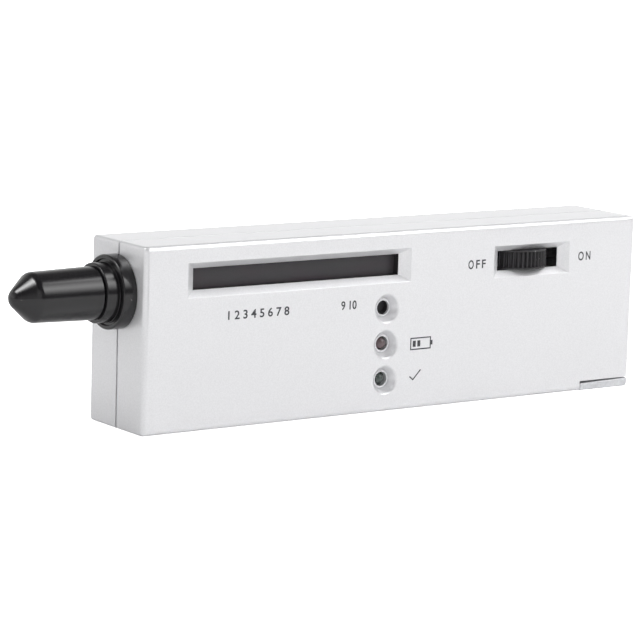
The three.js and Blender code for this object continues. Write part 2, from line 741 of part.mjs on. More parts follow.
function batteryWire(z) {
  const start = connectorLeft - SEAT;
  const end = boardStep - WIRE_BOARD_INSET;
  return wire([
    [start, seamY, z],
    [bayLeft - WIRE_RADIUS, seamY, z],
    [(bayLeft + end) / 2, seamY, z],
    [end + WIRE_RADIUS, seamY + WIRE_RADIUS, z],
    [end, (seamY + boardY) / 2, z],
    [end, boardY - SEAT, z],
  ], WIRE_RADIUS);
}

// Display
const displaySlab = (grow, y0, y1) =>
  block(displayLeft - grow, displayRight + grow, y0, y1, displayLow - grow, displayHigh + grow);

function displayBezel() {
  const frame = displaySlab(BEZEL_FRAME, WALL + FIT, BEZEL_DEPTH);
  return cutBy(frame, [
    displaySlab(0, -OVERRUN, BEZEL_DEPTH + OVERRUN),
    displaySlab(LENS_LAP + FIT, LENS_SETBACK - FIT / 2, BEZEL_DEPTH + OVERRUN),
  ]);
}

const displayLens = () => displaySlab(LENS_LAP, LENS_SETBACK, LENS_SETBACK + LENS_THICKNESS);

const housingFront = BEZEL_DEPTH + FIT;
const lampPitch = (DISPLAY_LENGTH - LAMP_ROW_MARGIN) / LAMP_COUNT;
const lampX = (place) => displayX + (place - (LAMP_COUNT - 1) / 2) * lampPitch;
const lampPlaces = Array.from({ length: LAMP_COUNT }, (_, place) => lampX(place));

function lampHousing() {
  const whole = displaySlab(BEZEL_FRAME, housingFront, housingFront + HOUSING_DEPTH);
  const halfWidth = LAMP_WIDTH / 2 + FIT;
  const halfHeight = LAMP_HEIGHT / 2 + FIT;
  const cell = (x) =>
    block(
      x - halfWidth,
      x + halfWidth,
      housingFront - OVERRUN,
      housingFront + HOUSING_DEPTH + OVERRUN,
      displayZ - halfHeight,
      displayZ + halfHeight,
    );
  return cutBy(whole, lampPlaces.map(cell));
}

// Two square legs along +Y, one above the other
function legs(x, z, y0, y1) {
  const half = LAMP_LEG / 2;
  return [-1, 1].map((side) => {
    const middle = z + (side * LAMP_LEG_PITCH) / 2;
    return block(x - half, x + half, y0, y1, middle - half, middle + half);
  });
}

function barLamp(x) {
  const front = housingFront + FIT;
  const back = front + LAMP_LENGTH;
  const body = block(
    x - LAMP_WIDTH / 2,
    x + LAMP_WIDTH / 2,
    front,
    back,
    displayZ - LAMP_HEIGHT / 2,
    displayZ + LAMP_HEIGHT / 2,
  );
  return joined([body, ...legs(x, displayZ, back - LAMP_LEG, boardY - SEAT)]);
}

function addDisplay(parent) {
  addPiece(parent, "display_bezel", displayBezel(), mattBlack());
  addPiece(parent, "display_lens", displayLens(), finish(0x49474a, 0.2));
  addPiece(parent, "lamp_housing", lampHousing(), mattBlack());
  lampPlaces.forEach((x, place) => {
    const name = `bar_lamp_${String(place + 1).padStart(2, "0")}`;
    const colour = place < LAMP_COUNT / 2 ? 0x5f7f5a : 0x8a4a44;
    addPiece(parent, name, barLamp(x), finish(colour, 0.4));
  });
}

// Round indicator lamps on their spacers
function indicatorLamp(z, setback) {
  const flangeBack = setback + INDICATOR_LENGTH;
  const flangeFront = flangeBack - INDICATOR_FLANGE;
  const body = turned([
    [0, -flangeBack],
    [INDICATOR_FLANGE_RADIUS, -flangeBack],
    [INDICATOR_FLANGE_RADIUS, -flangeFront],
    ...arc(0, -setback - INDICATOR_RADIUS, INDICATOR_RADIUS, 0, QUARTER, CAP_TIP_STEPS),
  ], SMALL_SIDES);
  const upright = body.rotate([180, 0, 0]).translate([indicatorX, 0, z]);
  return joined([upright, ...legs(indicatorX, z, flangeBack - LAMP_LEG, boardY - SEAT)]);
}

function lampSpacer(z, setback) {
  const front = setback + INDICATOR_LENGTH + FIT;
  const tube = barY(indicatorX, z, front, boardY - SEAT, SPACER_RADIUS);
  const slot = (side) => {
    const middle = z + (side * LAMP_LEG_PITCH) / 2;
    const half = SPACER_BORE / 2 + SEAT;
    return block(
      indicatorX - half,
      indicatorX + half,
      front - OVERRUN,
      boardY + OVERRUN,
      middle - half,
      middle + half,
    );
  };
  return cutBy(tube, [slot(-1), slot(1)]);
}

function addIndicators(parent) {
  const [readyZ, batteryZ] = indicatorPlaces;
  const clearRed = finish(0x655b5c, 0.15);
  const clearGreen = finish(0x585d5b, 0.15);
  addPiece(parent, "battery_lamp", indicatorLamp(batteryZ, BATTERY_LAMP_SETBACK), clearRed);
  addPiece(parent, "ready_lamp", indicatorLamp(readyZ, READY_LAMP_SETBACK), clearGreen);
  addPiece(parent, "battery_lamp_spacer", lampSpacer(batteryZ, BATTERY_LAMP_SETBACK), mattBlack());
  addPiece(parent, "ready_lamp_spacer", lampSpacer(readyZ, READY_LAMP_SETBACK), mattBlack());
}

function sounder() {
  const z = indicatorPlaces[2];
  const front = PORT_BOSS_DEPTH + FIT;
  const back = front + SOUNDER_HEIGHT;
  const body = barY(indicatorX, z, front, back, SOUNDER_RADIUS, SOUNDER_RADIUS, ROUND_SIDES);
  const spout = barY(indicatorX, z, front - OVERRUN, front + SOUNDER_SPOUT_DEPTH, SOUNDER_SPOUT_RADIUS);
  const pin = (side) => {
    const x = indicatorX + (side * SOUNDER_PIN_PITCH) / 2;
    return barY(x, z, back - SEAT, boardY - SEAT, SOUNDER_PIN_RADIUS);
  };
  return joined([body.subtract(spout), pin(-1), pin(1)]);
}

// Thumbwheel, about a vertical axis
const wheelLow = -wheelThickness / 2;
const wheelHigh = wheelThickness / 2;

function ribbedBand() {
  const tops = WHEEL_RADIUS - RIB_SETBACK;
  const root = tops - RIB_DEPTH;
  const pitch = (2 * Math.PI) / WHEEL_RIBS;
  const outline = new THREE.Shape();
  for (let corner = 0; corner < 2 * WHEEL_RIBS; corner++) {
    const radius = corner % 2 ? tops : root;
    const angle = (corner * pitch) / 2;
    const step = corner ? "lineTo" : "moveTo";
    outline[step](radius * Math.cos(angle), radius * Math.sin(angle));
  }
  outline.closePath();
  const depth = wheelThickness - RIM_BAND;
  const geometry = new THREE.ExtrudeGeometry(outline, { depth, bevelEnabled: false });
  geometry.translate(0, 0, wheelLow + RIM_BAND / 2);
  return solidOf(geometry);
}

function rimBand(low, high) {
  const edge = WHEEL_RADIUS - RIM_CHAMFER;
  const profile = [
    [0, low],
    [edge, low],
    [WHEEL_RADIUS, low + RIM_CHAMFER],
    [WHEEL_RADIUS, high - RIM_CHAMFER],
    [edge, high],
    [0, high],
  ];
  return turned(profile).rotate([90, 0, 0]);
}

const screwSeat = wheelLow + WHEEL_SCREW_HEAD + FIT;
const rotorSeat = screwSeat + WHEEL_WEB;

function thumbwheel() {
  const whole = joined([
    ribbedBand(),
    rimBand(wheelLow, wheelLow + RIM_BAND),
    rimBand(wheelHigh - RIM_BAND, wheelHigh),
  ]);
  return cutBy(whole, [
    barZ(0, 0, wheelLow - OVERRUN, screwSeat, WHEEL_SCREW_HEAD_RADIUS + FIT),
    barZ(0, 0, wheelLow, wheelHigh, WHEEL_SCREW_RADIUS + FIT),
    barZ(0, 0, rotorSeat, wheelHigh + OVERRUN, ROTOR_RADIUS + FIT),
  ]);
}

const potLow = wheelHigh + POT_GAP;
const potHigh = potLow + POT_HEIGHT;

function potRotor() {
  const low = rotorSeat + FIT;
  const high = potHigh - ROTOR_HEADROOM - FIT;
  const flat = block(
    ROTOR_RADIUS - ROTOR_FLAT,
    ROTOR_RADIUS + OVERRUN,
    -ROTOR_RADIUS,
    ROTOR_RADIUS,
    low - OVERRUN,
    wheelHigh,
  );
  return cutBy(barZ(0, 0, low, high, ROTOR_RADIUS), [
    flat,
    barZ(0, 0, low - OVERRUN, screwSeat + WHEEL_SCREW_LENGTH + FIT, WHEEL_SCREW_RADIUS + FIT),
  ]);
}

function wheelScrew() {
  const half = WHEEL_SCREW_SLOT / 2;
  const headLow = wheelLow + FIT / 2;
  const headHigh = headLow + WHEEL_SCREW_HEAD;
  const head = barZ(0, 0, headLow, headHigh, WHEEL_SCREW_HEAD_RADIUS);
  const shank = barZ(0, 0, headHigh - half, screwSeat + WHEEL_SCREW_LENGTH, WHEEL_SCREW_RADIUS);
  const slot = block(
    -WHEEL_SCREW_HEAD_RADIUS,
    WHEEL_SCREW_HEAD_RADIUS,
    -half,
    half,
    headLow - OVERRUN,
    headLow + half,
  );
  return head.add(shank).subtract(slot);
}

// The fixed body of the potentiometer, with the wafer that carries its terminals to the board
function potBody() {
  const wafer = block(
    -POT_WAFER_WIDTH / 2,
    POT_WAFER_WIDTH / 2,
    0,
    boardY - SEAT - wheelY,
    potHigh - POT_WAFER_THICKNESS,
    potHigh,
  );
  const can = barZ(0, 0, potLow, potHigh, POT_RADIUS, ROUND_SIDES);
  const socket = barZ(0, 0, potLow - OVERRUN, potHigh - ROTOR_HEADROOM, ROTOR_RADIUS + FIT);
  return can.add(wafer).subtract(socket);
}

function addWheel(parent) {
  const wheelAxis = new THREE.Group();
  wheelAxis.position.set(wheelX, wheelY, wheelZ);
  parent.add(wheelAxis);
  addPiece(wheelAxis, "thumbwheel", thumbwheel(), finish(0x333234, 0.5));
  addPiece(wheelAxis, "wheel_screw", wheelScrew(), steel());
  addPiece(wheelAxis, "pot_rotor", potRotor(), finish(0xd8d4c8, 0.5));
  addPiece(wheelAxis, "pot_body", potBody(), finish(0x6a4a30, 0.55));
}

// Main board and what stands on it
function mainBoard() {
  const full = block(boardLeft, boardStep, boardY, boardBack, boardBottom, boardTop);
  const tab = block(boardLeft, wheelX + BOARD_TAB_REACH, boardY, boardBack, boardTabBottom, boardTop);
  const hole = ([x, z]) => barY(x, z, boardY - OVERRUN, boardBack + OVERRUN, BOARD_SCREW_RADIUS + FIT);
  return cutBy(full.add(tab), boardScrewPlaces.map(hole));
}

function addBoardScrews(parent) {
  boardScrewPlaces.forEach(([x, z], place) => {
    const length = BOARD_THICKNESS + STANDOFF_HEIGHT;
    const solid = screw(BOARD_SCREW_HEAD_RADIUS, BOARD_SCREW_HEAD, BOARD_SCREW_RADIUS, length);
    const mesh = addPiece(parent, `board_screw_${place + 1}`, solid, brass());
    mesh.rotation.x = Math.PI;
    mesh.position.set(x, boardY - FIT, z);
  });
}

// A chip with its pins, centred on x and z with its back at y zero
function chip(pins) {
  const half = ((pins - 1) * CHIP_PIN_PITCH) / 2 + CHIP_END;
  const top = -CHIP_STANDOFF - CHIP_HEIGHT;
  const body = block(-half, half, top, -CHIP_STANDOFF, -CHIP_WIDTH / 2, CHIP_WIDTH / 2);
  const notch = barY(-half, 0, top - OVERRUN, top + CHIP_NOTCH / 2, CHIP_NOTCH);
  const pinTop = top + CHIP_HEIGHT / 2;
  const outer = CHIP_WIDTH / 2 + CHIP_PIN_THICKNESS;
  const inner = CHIP_WIDTH / 2 - CHIP_PIN_THICKNESS;
  const pieces = [body.subtract(notch)];
  for (let pin = 0; pin < pins; pin++) {
    const left = pin * CHIP_PIN_PITCH - half + CHIP_END - CHIP_PIN_WIDTH / 2;
    const right = left + CHIP_PIN_WIDTH;
    pieces.push(block(left, right, pinTop, 0, -outer, -inner));
    pieces.push(block(left, right, pinTop, 0, inner, outer));
  }
  return joined(pieces);
}

const columnX = (share) => boardLeft + share * (indicatorX - SOUNDER_RADIUS - boardLeft);
const boardColumns = COLUMN_SHARES.map(columnX);

function addChips(parent) {
  const chips = [
    ["amplifier_chip_1", AMPLIFIER_PINS],
    ["amplifier_chip_2", AMPLIFIER_PINS],
    ["lamp_driver_chip", DRIVER_PINS],
  ];
  chips.forEach(([name, pins], column) => {
    const mesh = addPiece(parent, name, chip(pins), finish(0x2c2b2d, 0.55));
    mesh.rotation.y = QUARTER;
    mesh.position.set(boardColumns[column], boardY - SEAT, boardBottom + CHIP_RISE);
  });
}

function trimmer() {
  const half = TRIMMER_WIDTH / 2;
  const screwTop = -TRIMMER_HEIGHT - TRIMMER_SCREW_HEIGHT;
  const body = block(-half, half, -TRIMMER_HEIGHT, 0, -half, half);
  const dial = barY(0, 0, screwTop, -TRIMMER_HEIGHT / 2, TRIMMER_SCREW_RADIUS);
  const slotHalf = TRIMMER_SLOT / 2;
  const slot = block(-half, half, screwTop - OVERRUN, screwTop + TRIMMER_SLOT, -slotHalf, slotHalf);
  return body.add(dial).subtract(slot);
}

function addTrimmers(parent) {
  [0, 1].forEach((place) => {
    const mesh = addPiece(parent, `trimmer_${place + 1}`, trimmer(), finish(0x3a5f9a, 0.45));
    const z = boardBottom + CHIP_RISE + (place - 1 / 2) * TRIMMER_PITCH;
    mesh.position.set(boardColumns[3], boardY - SEAT, z);
  });
}

function capacitor() {
  const waist = CAPACITOR_RADIUS - CAPACITOR_CRIMP;
  const crimp = CAPACITOR_HEIGHT / 6;
  return turned([
    [0, -CAPACITOR_HEIGHT],
    [waist, -CAPACITOR_HEIGHT],
    [CAPACITOR_RADIUS, -CAPACITOR_HEIGHT + CAPACITOR_CRIMP],
    [CAPACITOR_RADIUS, -2 * crimp],
    [waist, -crimp - CAPACITOR_CRIMP],
    [CAPACITOR_RADIUS, -crimp],
    [CAPACITOR_RADIUS, 0],
    [0, 0],
  ], SMALL_SIDES);
}

function addCapacitors(parent) {
  const top = displayLow - BEZEL_FRAME - FIT - CAPACITOR_RADIUS;
  [0, 1].forEach((place) => {
    const mesh = addPiece(parent, `capacitor_${place + 1}`, capacitor(), finish(0x2b3a63, 0.4));
    mesh.position.set(capacitorX, boardY - SEAT, top - place * CAPACITOR_PITCH);
  });
}

// A resistor along X with both leads bent back to the board
function resistor() {
  const half = RESISTOR_LENGTH / 2;
  const waist = RESISTOR_RADIUS - RESISTOR_WAIST;
  const end = RESISTOR_LENGTH / 5;
  const body = turned([
    [0, -half],
    [waist, -half],
    [RESISTOR_RADIUS, -half + RESISTOR_WAIST],
    [RESISTOR_RADIUS, -half + end],
    [waist, -half + end + RESISTOR_WAIST],
    [waist, half - end - RESISTOR_WAIST],
    [RESISTOR_RADIUS, half - end],
    [RESISTOR_RADIUS, half - RESISTOR_WAIST],
    [waist, half],
    [0, half],
  ], SMALL_SIDES).rotate([0, 0, 90]);
  const lead = RESISTOR_LEAD / 2;
  const reach = half + RESISTOR_LEAD_REACH;
  const through = block(-reach, reach, -lead, lead, -lead, lead);
  const back = RESISTOR_RADIUS + FIT;
  const bend = (side) => {
    const [x0, x1] = [side * reach, side * (reach - RESISTOR_LEAD)];
    return block(Math.min(x0, x1), Math.max(x0, x1), -lead, back, -lead, lead);
  };
  return joined([body, through, bend(-1), bend(1)]);
}

function addResistors(parent) {
  [boardColumns[1], boardColumns[3]].forEach((x, place) => {
    const mesh = addPiece(parent, `resistor_${place + 1}`, resistor(), finish(0xcbb58c, 0.5));
    mesh.position.set(x, boardY - SEAT - RESISTOR_RADIUS - FIT, boardBottom + RESISTOR_RISE);
  });
}

// Probe pieces are turned about +Y, which their group lays along -X: heights run outwards from the end face
const neckFront = FLANGE_LENGTH + NECK_LENGTH;
const keeperFront = -WALL - FIT;
const keeperBack = keeperFront - COLLAR_KEEPER;
const noseBore = NOSE_RADIUS - NOSE_WALL;

function probeCollar() {
  const bore = NOSE_RADIUS + FIT;
  return turned([
    [bore, keeperBack],
    [COLLAR_KEEPER_RADIUS, keeperBack],
    [COLLAR_KEEPER_RADIUS, keeperFront],
    [COLLAR_SHAFT_RADIUS, keeperFront],
    [COLLAR_SHAFT_RADIUS, SEAT / 2],
    [FLANGE_RADIUS, SEAT / 2],
    ...arc(FLANGE_RADIUS - FLANGE_ROUND, FLANGE_LENGTH - FLANGE_ROUND, FLANGE_ROUND, 0, QUARTER, EDGE_STEPS),
    [NECK_RADIUS, FLANGE_LENGTH],
    ...arc(NECK_RADIUS - NECK_ROUND, neckFront - NECK_ROUND, NECK_ROUND, 0, QUARTER, EDGE_STEPS),
    [SPIGOT_RADIUS, neckFront],
    [SPIGOT_RADIUS, neckFront + SPIGOT_LENGTH - NECK_ROUND],
    [SPIGOT_RADIUS - NECK_ROUND, neckFront + SPIGOT_LENGTH],
    [bore, neckFront + SPIGOT_LENGTH],
    [bore, keeperBack],
  ]);
}

function probeNose() {
  const tipBore = TIP_RADIUS + FIT;
  const noseKeeperFront = keeperBack - FIT;
  const noseKeeperBack = noseKeeperFront - NOSE_KEEPER;
  return turned([
    [noseBore, -NOSE_REAR],
    [NOSE_RADIUS, -NOSE_REAR],
    [NOSE_RADIUS, noseKeeperBack],
    [NOSE_KEEPER_RADIUS, noseKeeperBack],
    [NOSE_KEEPER_RADIUS, noseKeeperFront],
    [NOSE_RADIUS, noseKeeperFront],
    [NOSE_RADIUS, NOSE_LENGTH - NOSE_TAPER],
    [NOSE_TIP_RADIUS, NOSE_LENGTH],
    [tipBore, NOSE_LENGTH],
    [tipBore, NOSE_SHOULDER],
    [noseBore, NOSE_SHOULDER],
    [noseBore, -NOSE_REAR],
  ], SMALL_SIDES);
}

const heaterFront = NOSE_SHOULDER - FIT;
const heaterBack = heaterFront - HEATER_LENGTH;
const discFront = heaterBack - FIT;
const discBack = discFront - TIP_DISC;
const runningRadius = noseBore - FIT;

function probeTip() {
  const front = NOSE_LENGTH + TIP_REACH;
  return turned([
    [0, discBack - TIP_STUB],
    [TIP_RADIUS, discBack - TIP_STUB],
    [TIP_RADIUS, discBack],
    [runningRadius, discBack],
    [runningRadius, discFront],
    [TIP_RADIUS, discFront],
    [TIP_RADIUS, front - TIP_POINT],
    [TIP_RADIUS / 2, front],
    [0, front],
  ], SMALL_SIDES);
}

function probeHeater() {
  const bore = TIP_RADIUS + FIT;
  return turned([
    [bore, heaterBack],
    [runningRadius, heaterBack],
    [runningRadius, heaterFront],
    [bore, heaterFront],
    [bore, heaterBack],
  ], SMALL_SIDES);
}

const plugFront = PLUG_LENGTH - NOSE_REAR;

// A compression spring between the tip's disc and the plug
class SpringPath extends THREE.Curve {
  getPoint(t) {
    const radius = runningRadius - 2 * SPRING_WIRE_RADIUS;
    const high = discBack - SEAT - SPRING_WIRE_RADIUS;
    const low = plugFront + SEAT + SPRING_WIRE_RADIUS;
    const angle = 2 * Math.PI * SPRING_TURNS * t;
    const height = high + (low - high) * t;
    return new THREE.Vector3(radius * Math.cos(angle), height, radius * Math.sin(angle));
  }
}

function probeSpring() {
  const section = new THREE.Shape();
  for (let side = 0; side < SPRING_SIDES; side++) {
    const angle = (2 * Math.PI * side) / SPRING_SIDES;
    const step = side ? "lineTo" : "moveTo";
    section[step](SPRING_WIRE_RADIUS * Math.cos(angle), SPRING_WIRE_RADIUS * Math.sin(angle));
  }
  section.closePath();
  return solidOf(
    new THREE.ExtrudeGeometry(section, {
      steps: SPRING_TURNS * SPRING_STEPS,
      extrudePath: new SpringPath(),
    }),
  );
}

function probePlug() {
  return turned([
    [0, -NOSE_REAR - PLUG_HEAD],
    [NOSE_RADIUS, -NOSE_REAR - PLUG_HEAD],
    [NOSE_RADIUS, -NOSE_REAR - SEAT],
    [runningRadius, -NOSE_REAR - SEAT],
    [runningRadius, plugFront],
    [0, plugFront],
  ], SMALL_SIDES);
}

// The cap's outside: a mouth, a slow taper, a rounded shoulder and a cone with a rounded tip
function capOutside(mouth) {
  const angle = CAP_HALF_ANGLE;
  const tipCentre = capReach - CAP_TIP_RADIUS;
  const coneRadius = CAP_TIP_RADIUS * Math.cos(angle);
  const coneHeight = tipCentre + CAP_TIP_RADIUS * Math.sin(angle);
  const cornerHeight = coneHeight - (CAP_SHOULDER_RADIUS - coneRadius) / Math.tan(angle);
  const back = CAP_SHOULDER_ROUND * Math.tan(angle / 2);
  const roundRadius = CAP_SHOULDER_RADIUS - CAP_SHOULDER_ROUND;
  return [
    [CAP_MOUTH_RADIUS, mouth],
    ...arc(roundRadius, cornerHeight - back, CAP_SHOULDER_ROUND, 0, angle, EDGE_STEPS),
    ...arc(0, tipCentre, CAP_TIP_RADIUS, angle, QUARTER, CAP_TIP_STEPS),
  ];
}

function protectiveCap() {
  const mouth = neckFront + CAP_SEAT;
  const boreRadius = SPIGOT_RADIUS + FIT;
  const tipInside = capReach - CAP_WALL - CAP_TIP_RADIUS / 4;
  const endRadius = CAP_SHOULDER_RADIUS - CAP_WALL;
  const coneFoot = tipInside - endRadius / Math.tan(CAP_HALF_ANGLE);
  return turned([
    [boreRadius, mouth],
    ...capOutside(mouth),
    [0, tipInside],
    [endRadius, coneFoot],
    [boreRadius, neckFront + SPIGOT_LENGTH + FIT],
    [boreRadius, mouth],
  ]);
}

function addProbe(parent) {
  const axis = new THREE.Group();
  axis.position.set(0, seamY, probeZ);
  axis.rotation.z = QUARTER;
  parent.add(axis);
  addPiece(axis, "probe_collar", probeCollar(), blackPlastic());
  addPiece(axis, "probe_nose", probeNose(), mattBlack());
  addPiece(axis, "probe_tip", probeTip(), copper());
  addPiece(axis, "probe_heater", probeHeater(), finish(0xe6e0d2, 0.6));
  addPiece(axis, "probe_spring", probeSpring(), steel());
  addPiece(axis, "probe_plug", probePlug(), finish(0xd9d3c4, 0.6));
  addPiece(axis, "protective_cap", protectiveCap(), blackPlastic());
}

function probeWire(place) {
  const start = NOSE_REAR + PLUG_HEAD + SEAT;
  const y = seamY;
  const z = probeZ + ((place ? 1 : -1) * PROBE_WIRE_PITCH) / 2;
  const endX = boardLeft + PROBE_WIRE_BOARD_INSET;
  const low = z - PROBE_WIRE_DROP;
  return wire([
    [start, y, z],
    [start + 2 * PROBE_WIRE_RADIUS, y, z],
    [(start + endX) / 2, (y + boardY) / 2, (z + low) / 2],
    [endX, (y + 2 * boardY) / 3, low],
    [endX, boardY - SEAT, low],
  ], PROBE_WIRE_RADIUS);
}

function addWires(parent) {
  addPiece(parent, "red_lead", batteryWire(batteryMiddle + WIRE_PITCH / 2), finish(0xb3262a, 0.5));
  addPiece(parent, "black_lead", batteryWire(batteryMiddle - WIRE_PITCH / 2), finish(0x1d1c1e, 0.5));
  [0, 1].forEach((place) => {
    addPiece(parent, `probe_lead_${place + 1}`, probeWire(place), finish(0xe9e7df, 0.5));
  });
}

function addCase(parent) {
  addPiece(parent, "front_cover", frontCover(), casePlastic());
  addPiece(parent, "back_cover", backCover(), casePlastic());
  addPiece(parent, "battery_door", batteryDoor(), finish(0xd6d7d9, 0.6));
  addPiece(parent, "battery_pad", batteryPad(), finish(0x3b3a3c, 0.9));
  addCaseScrews(parent);
}

function addBoard(parent) {
  addPiece(parent, "main_board", mainBoard(), finish(0x2f6b43, 0.45));
  addBoardScrews(parent);
  addChips(parent);
  addTrimmers(parent);
  addCapacitors(parent);
  addResistors(parent);
  addPiece(parent, "sounder", sounder(), mattBlack());
}

function addPower(parent) {
  addPiece(parent, "battery", battery(), finish(0x3c3d40, 0.4));
  addPiece(parent, "snap_connector", snapConnector(), mattBlack());
}

// The origin is under the middle of the whole outline, cap and wheel included
const instrument = new THREE.Group();
instrument.position.set((capReach - caseLength) / 2, (WHEEL_PROUD - caseDepth) / 2, 0);
addCase(instrument);
addDisplay(instrument);
addIndicators(instrument);
addBoard(instrument);
addWheel(instrument);
addPower(instrument);
addProbe(instrument);
addWires(instrument);

const part = new THREE.Group();
part.add(instrument);

export default part;
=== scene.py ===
import json
import math

import bmesh
import bpy
from bpy.props import FloatProperty, FloatVectorProperty, IntProperty, PointerProperty
from bpy.types import NodeSocket, Operator, Panel, PropertyGroup
from mathutils import Matrix, Vector


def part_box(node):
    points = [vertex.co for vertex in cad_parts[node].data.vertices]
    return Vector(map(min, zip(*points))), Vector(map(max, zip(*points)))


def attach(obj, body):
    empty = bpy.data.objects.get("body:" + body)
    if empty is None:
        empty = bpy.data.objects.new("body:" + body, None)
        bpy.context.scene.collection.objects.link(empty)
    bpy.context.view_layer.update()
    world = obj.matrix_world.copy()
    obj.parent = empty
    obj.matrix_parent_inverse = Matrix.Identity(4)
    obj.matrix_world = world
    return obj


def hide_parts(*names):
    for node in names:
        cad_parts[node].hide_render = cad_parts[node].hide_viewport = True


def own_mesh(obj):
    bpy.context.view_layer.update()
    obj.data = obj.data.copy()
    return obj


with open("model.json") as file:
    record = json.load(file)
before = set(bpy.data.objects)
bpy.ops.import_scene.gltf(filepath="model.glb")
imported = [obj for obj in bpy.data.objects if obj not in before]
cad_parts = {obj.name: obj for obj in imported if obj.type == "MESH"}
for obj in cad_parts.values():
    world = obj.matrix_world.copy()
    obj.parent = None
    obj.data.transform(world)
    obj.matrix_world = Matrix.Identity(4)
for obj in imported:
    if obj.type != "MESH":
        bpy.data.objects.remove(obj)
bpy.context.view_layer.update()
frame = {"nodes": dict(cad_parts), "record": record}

bl_info = {
    "name": "Diamond tester",
    "version": (1, 0, 0),
    "blender": (4, 5, 0),
    "location": "3D View > Sidebar > Tester",
    "description": "Finishes a thermal diamond tester on its fixed frame",
    "category": "Object",
}

# Places and sizes that the frame gives. Case coordinates are millimetres from the case's left front foot
MM = 0.001
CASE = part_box("front_cover")[0]
CASE_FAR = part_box("back_cover")[1]
CASE_SIDES = ((0, CASE.x), (0, CASE_FAR.x), (2, CASE.z), (2, CASE_FAR.z))
CAD_ROUND = 1.2 * MM
BOTH_SIDES = (-1, 1)

# How near counts as in a corner, round a recess, on a plane, and as one vertex
CORNER_REACH = 1.3 * MM
RECESS_REACH = 4 * MM
FLUSH = 0.02 * MM
WELD = 0.01 * MM

# Below the first angle two faces are one, and past the second their edge is sharp
FLAT = math.radians(0.6)
CREASE = math.radians(34)

# Steps round a large and a small spun piece
ROUND_STEPS = 96
SMALL_STEPS = 48


def at(x, y, z):
    """A point given in millimetres in the case's coordinates, in the row frame."""
    return CASE + Vector((x, y, z)) * MM


def middle(node):
    """The middle of a CAD node's box."""
    low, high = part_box(node)
    return (low + high) / 2


def linear(red, green, blue):
    """A display colour from 0 to 255 as the linear colour that shaders take."""
    def channel(value):
        share = value / 255
        return share / 12.92 if share <= 0.04045 else ((share + 0.055) / 1.055) ** 2.4
    return tuple(channel(value) for value in (red, green, blue))


# Sizes and colours that a user would change
def as_length(name, description, millimetres):
    return FloatProperty(name=name, description=description, default=millimetres * MM, unit="LENGTH")


def as_angle(name, description, degrees):
    return FloatProperty(name=name, description=description, default=math.radians(degrees), subtype="ANGLE")


def as_colour(name, description, default):
    return FloatVectorProperty(name=name, description=description, default=default, subtype="COLOR", size=3,
                               min=0, max=1)


def as_radiance(name, source, default):
    return FloatProperty(name=name, description=f"Radiance of the {source}", default=default, min=0)


class CaseSettings(PropertyGroup):
    corner_round: as_length("Corner round", "Round of the case's short edges", 0.8)
    rim_round: as_length("Rim round", "Round of the rims of the windows", 0.26)
    recess_round: as_length("Recess round", "Round of the rims of the three round recesses", 0.4)
    back_round: as_length("Back round", "Round of the edges round the back face", 0.45)
    right_round: as_length("Right round", "Round between the front face and the right end", 0.6)
    seam_round: as_length("Seam round", "Round of the two edges at the seam", 0.2)
    seam_widening: as_length("Seam widening", "How much wider the seam opens at the skin", 0.3)
    colour: as_colour("Case colour", "Silver-white paint of both covers", linear(223, 223, 225))


class ProbeSettings(PropertyGroup):
    cap_mouth: as_length("Cap mouth", "Radius of the cap at its mouth", 6.38)
    cap_shoulder: as_length("Cap shoulder", "Radius of the cap at its shoulder", 6.0)
    cap_shoulder_round: as_length("Shoulder round", "Round between the cap's side and its cone", 2.6)
    cap_tip: as_length("Cap tip", "Radius of the cap's rounded tip", 3.0)
    cap_half_angle: as_angle("Cone angle", "Half the angle of the cap's cone", 42)
    cap_wall: as_length("Cap wall", "Thickness of the cap", 1.1)
    collar_groove: as_length("Collar groove", "Depth of the groove at the foot of the neck", 0.45)
    colour: as_colour("Probe colour", "Black plastic of the cap and the collar", linear(27, 26, 28))


class WheelSettings(PropertyGroup):
    ribs: IntProperty(name="Ribs", description="Ribs round the thumbwheel", default=45, min=3)
    rib_height: as_length("Rib height", "How far a rib stands out of the drum", 0.7)
    lip: as_length("Lip", "Height of the plain band at each edge of the wheel", 0.45)
    fill: as_length("Fill", "How much nearer each side comes to the window's edge than the plain wheel", 0.13)
    colour: as_colour("Wheel colour", "Dark plastic of the thumbwheel", linear(44, 43, 45))


class MarkingSettings(PropertyGroup):
    letter_height: as_length("Letter height", "Height of the letters at the switch", 2.5)
    ink_depth: as_length("Ink depth", "How far the print stands out of the front", 0.02)
    colour: as_colour("Ink colour", "Grey of the printed marks", linear(62, 62, 66))


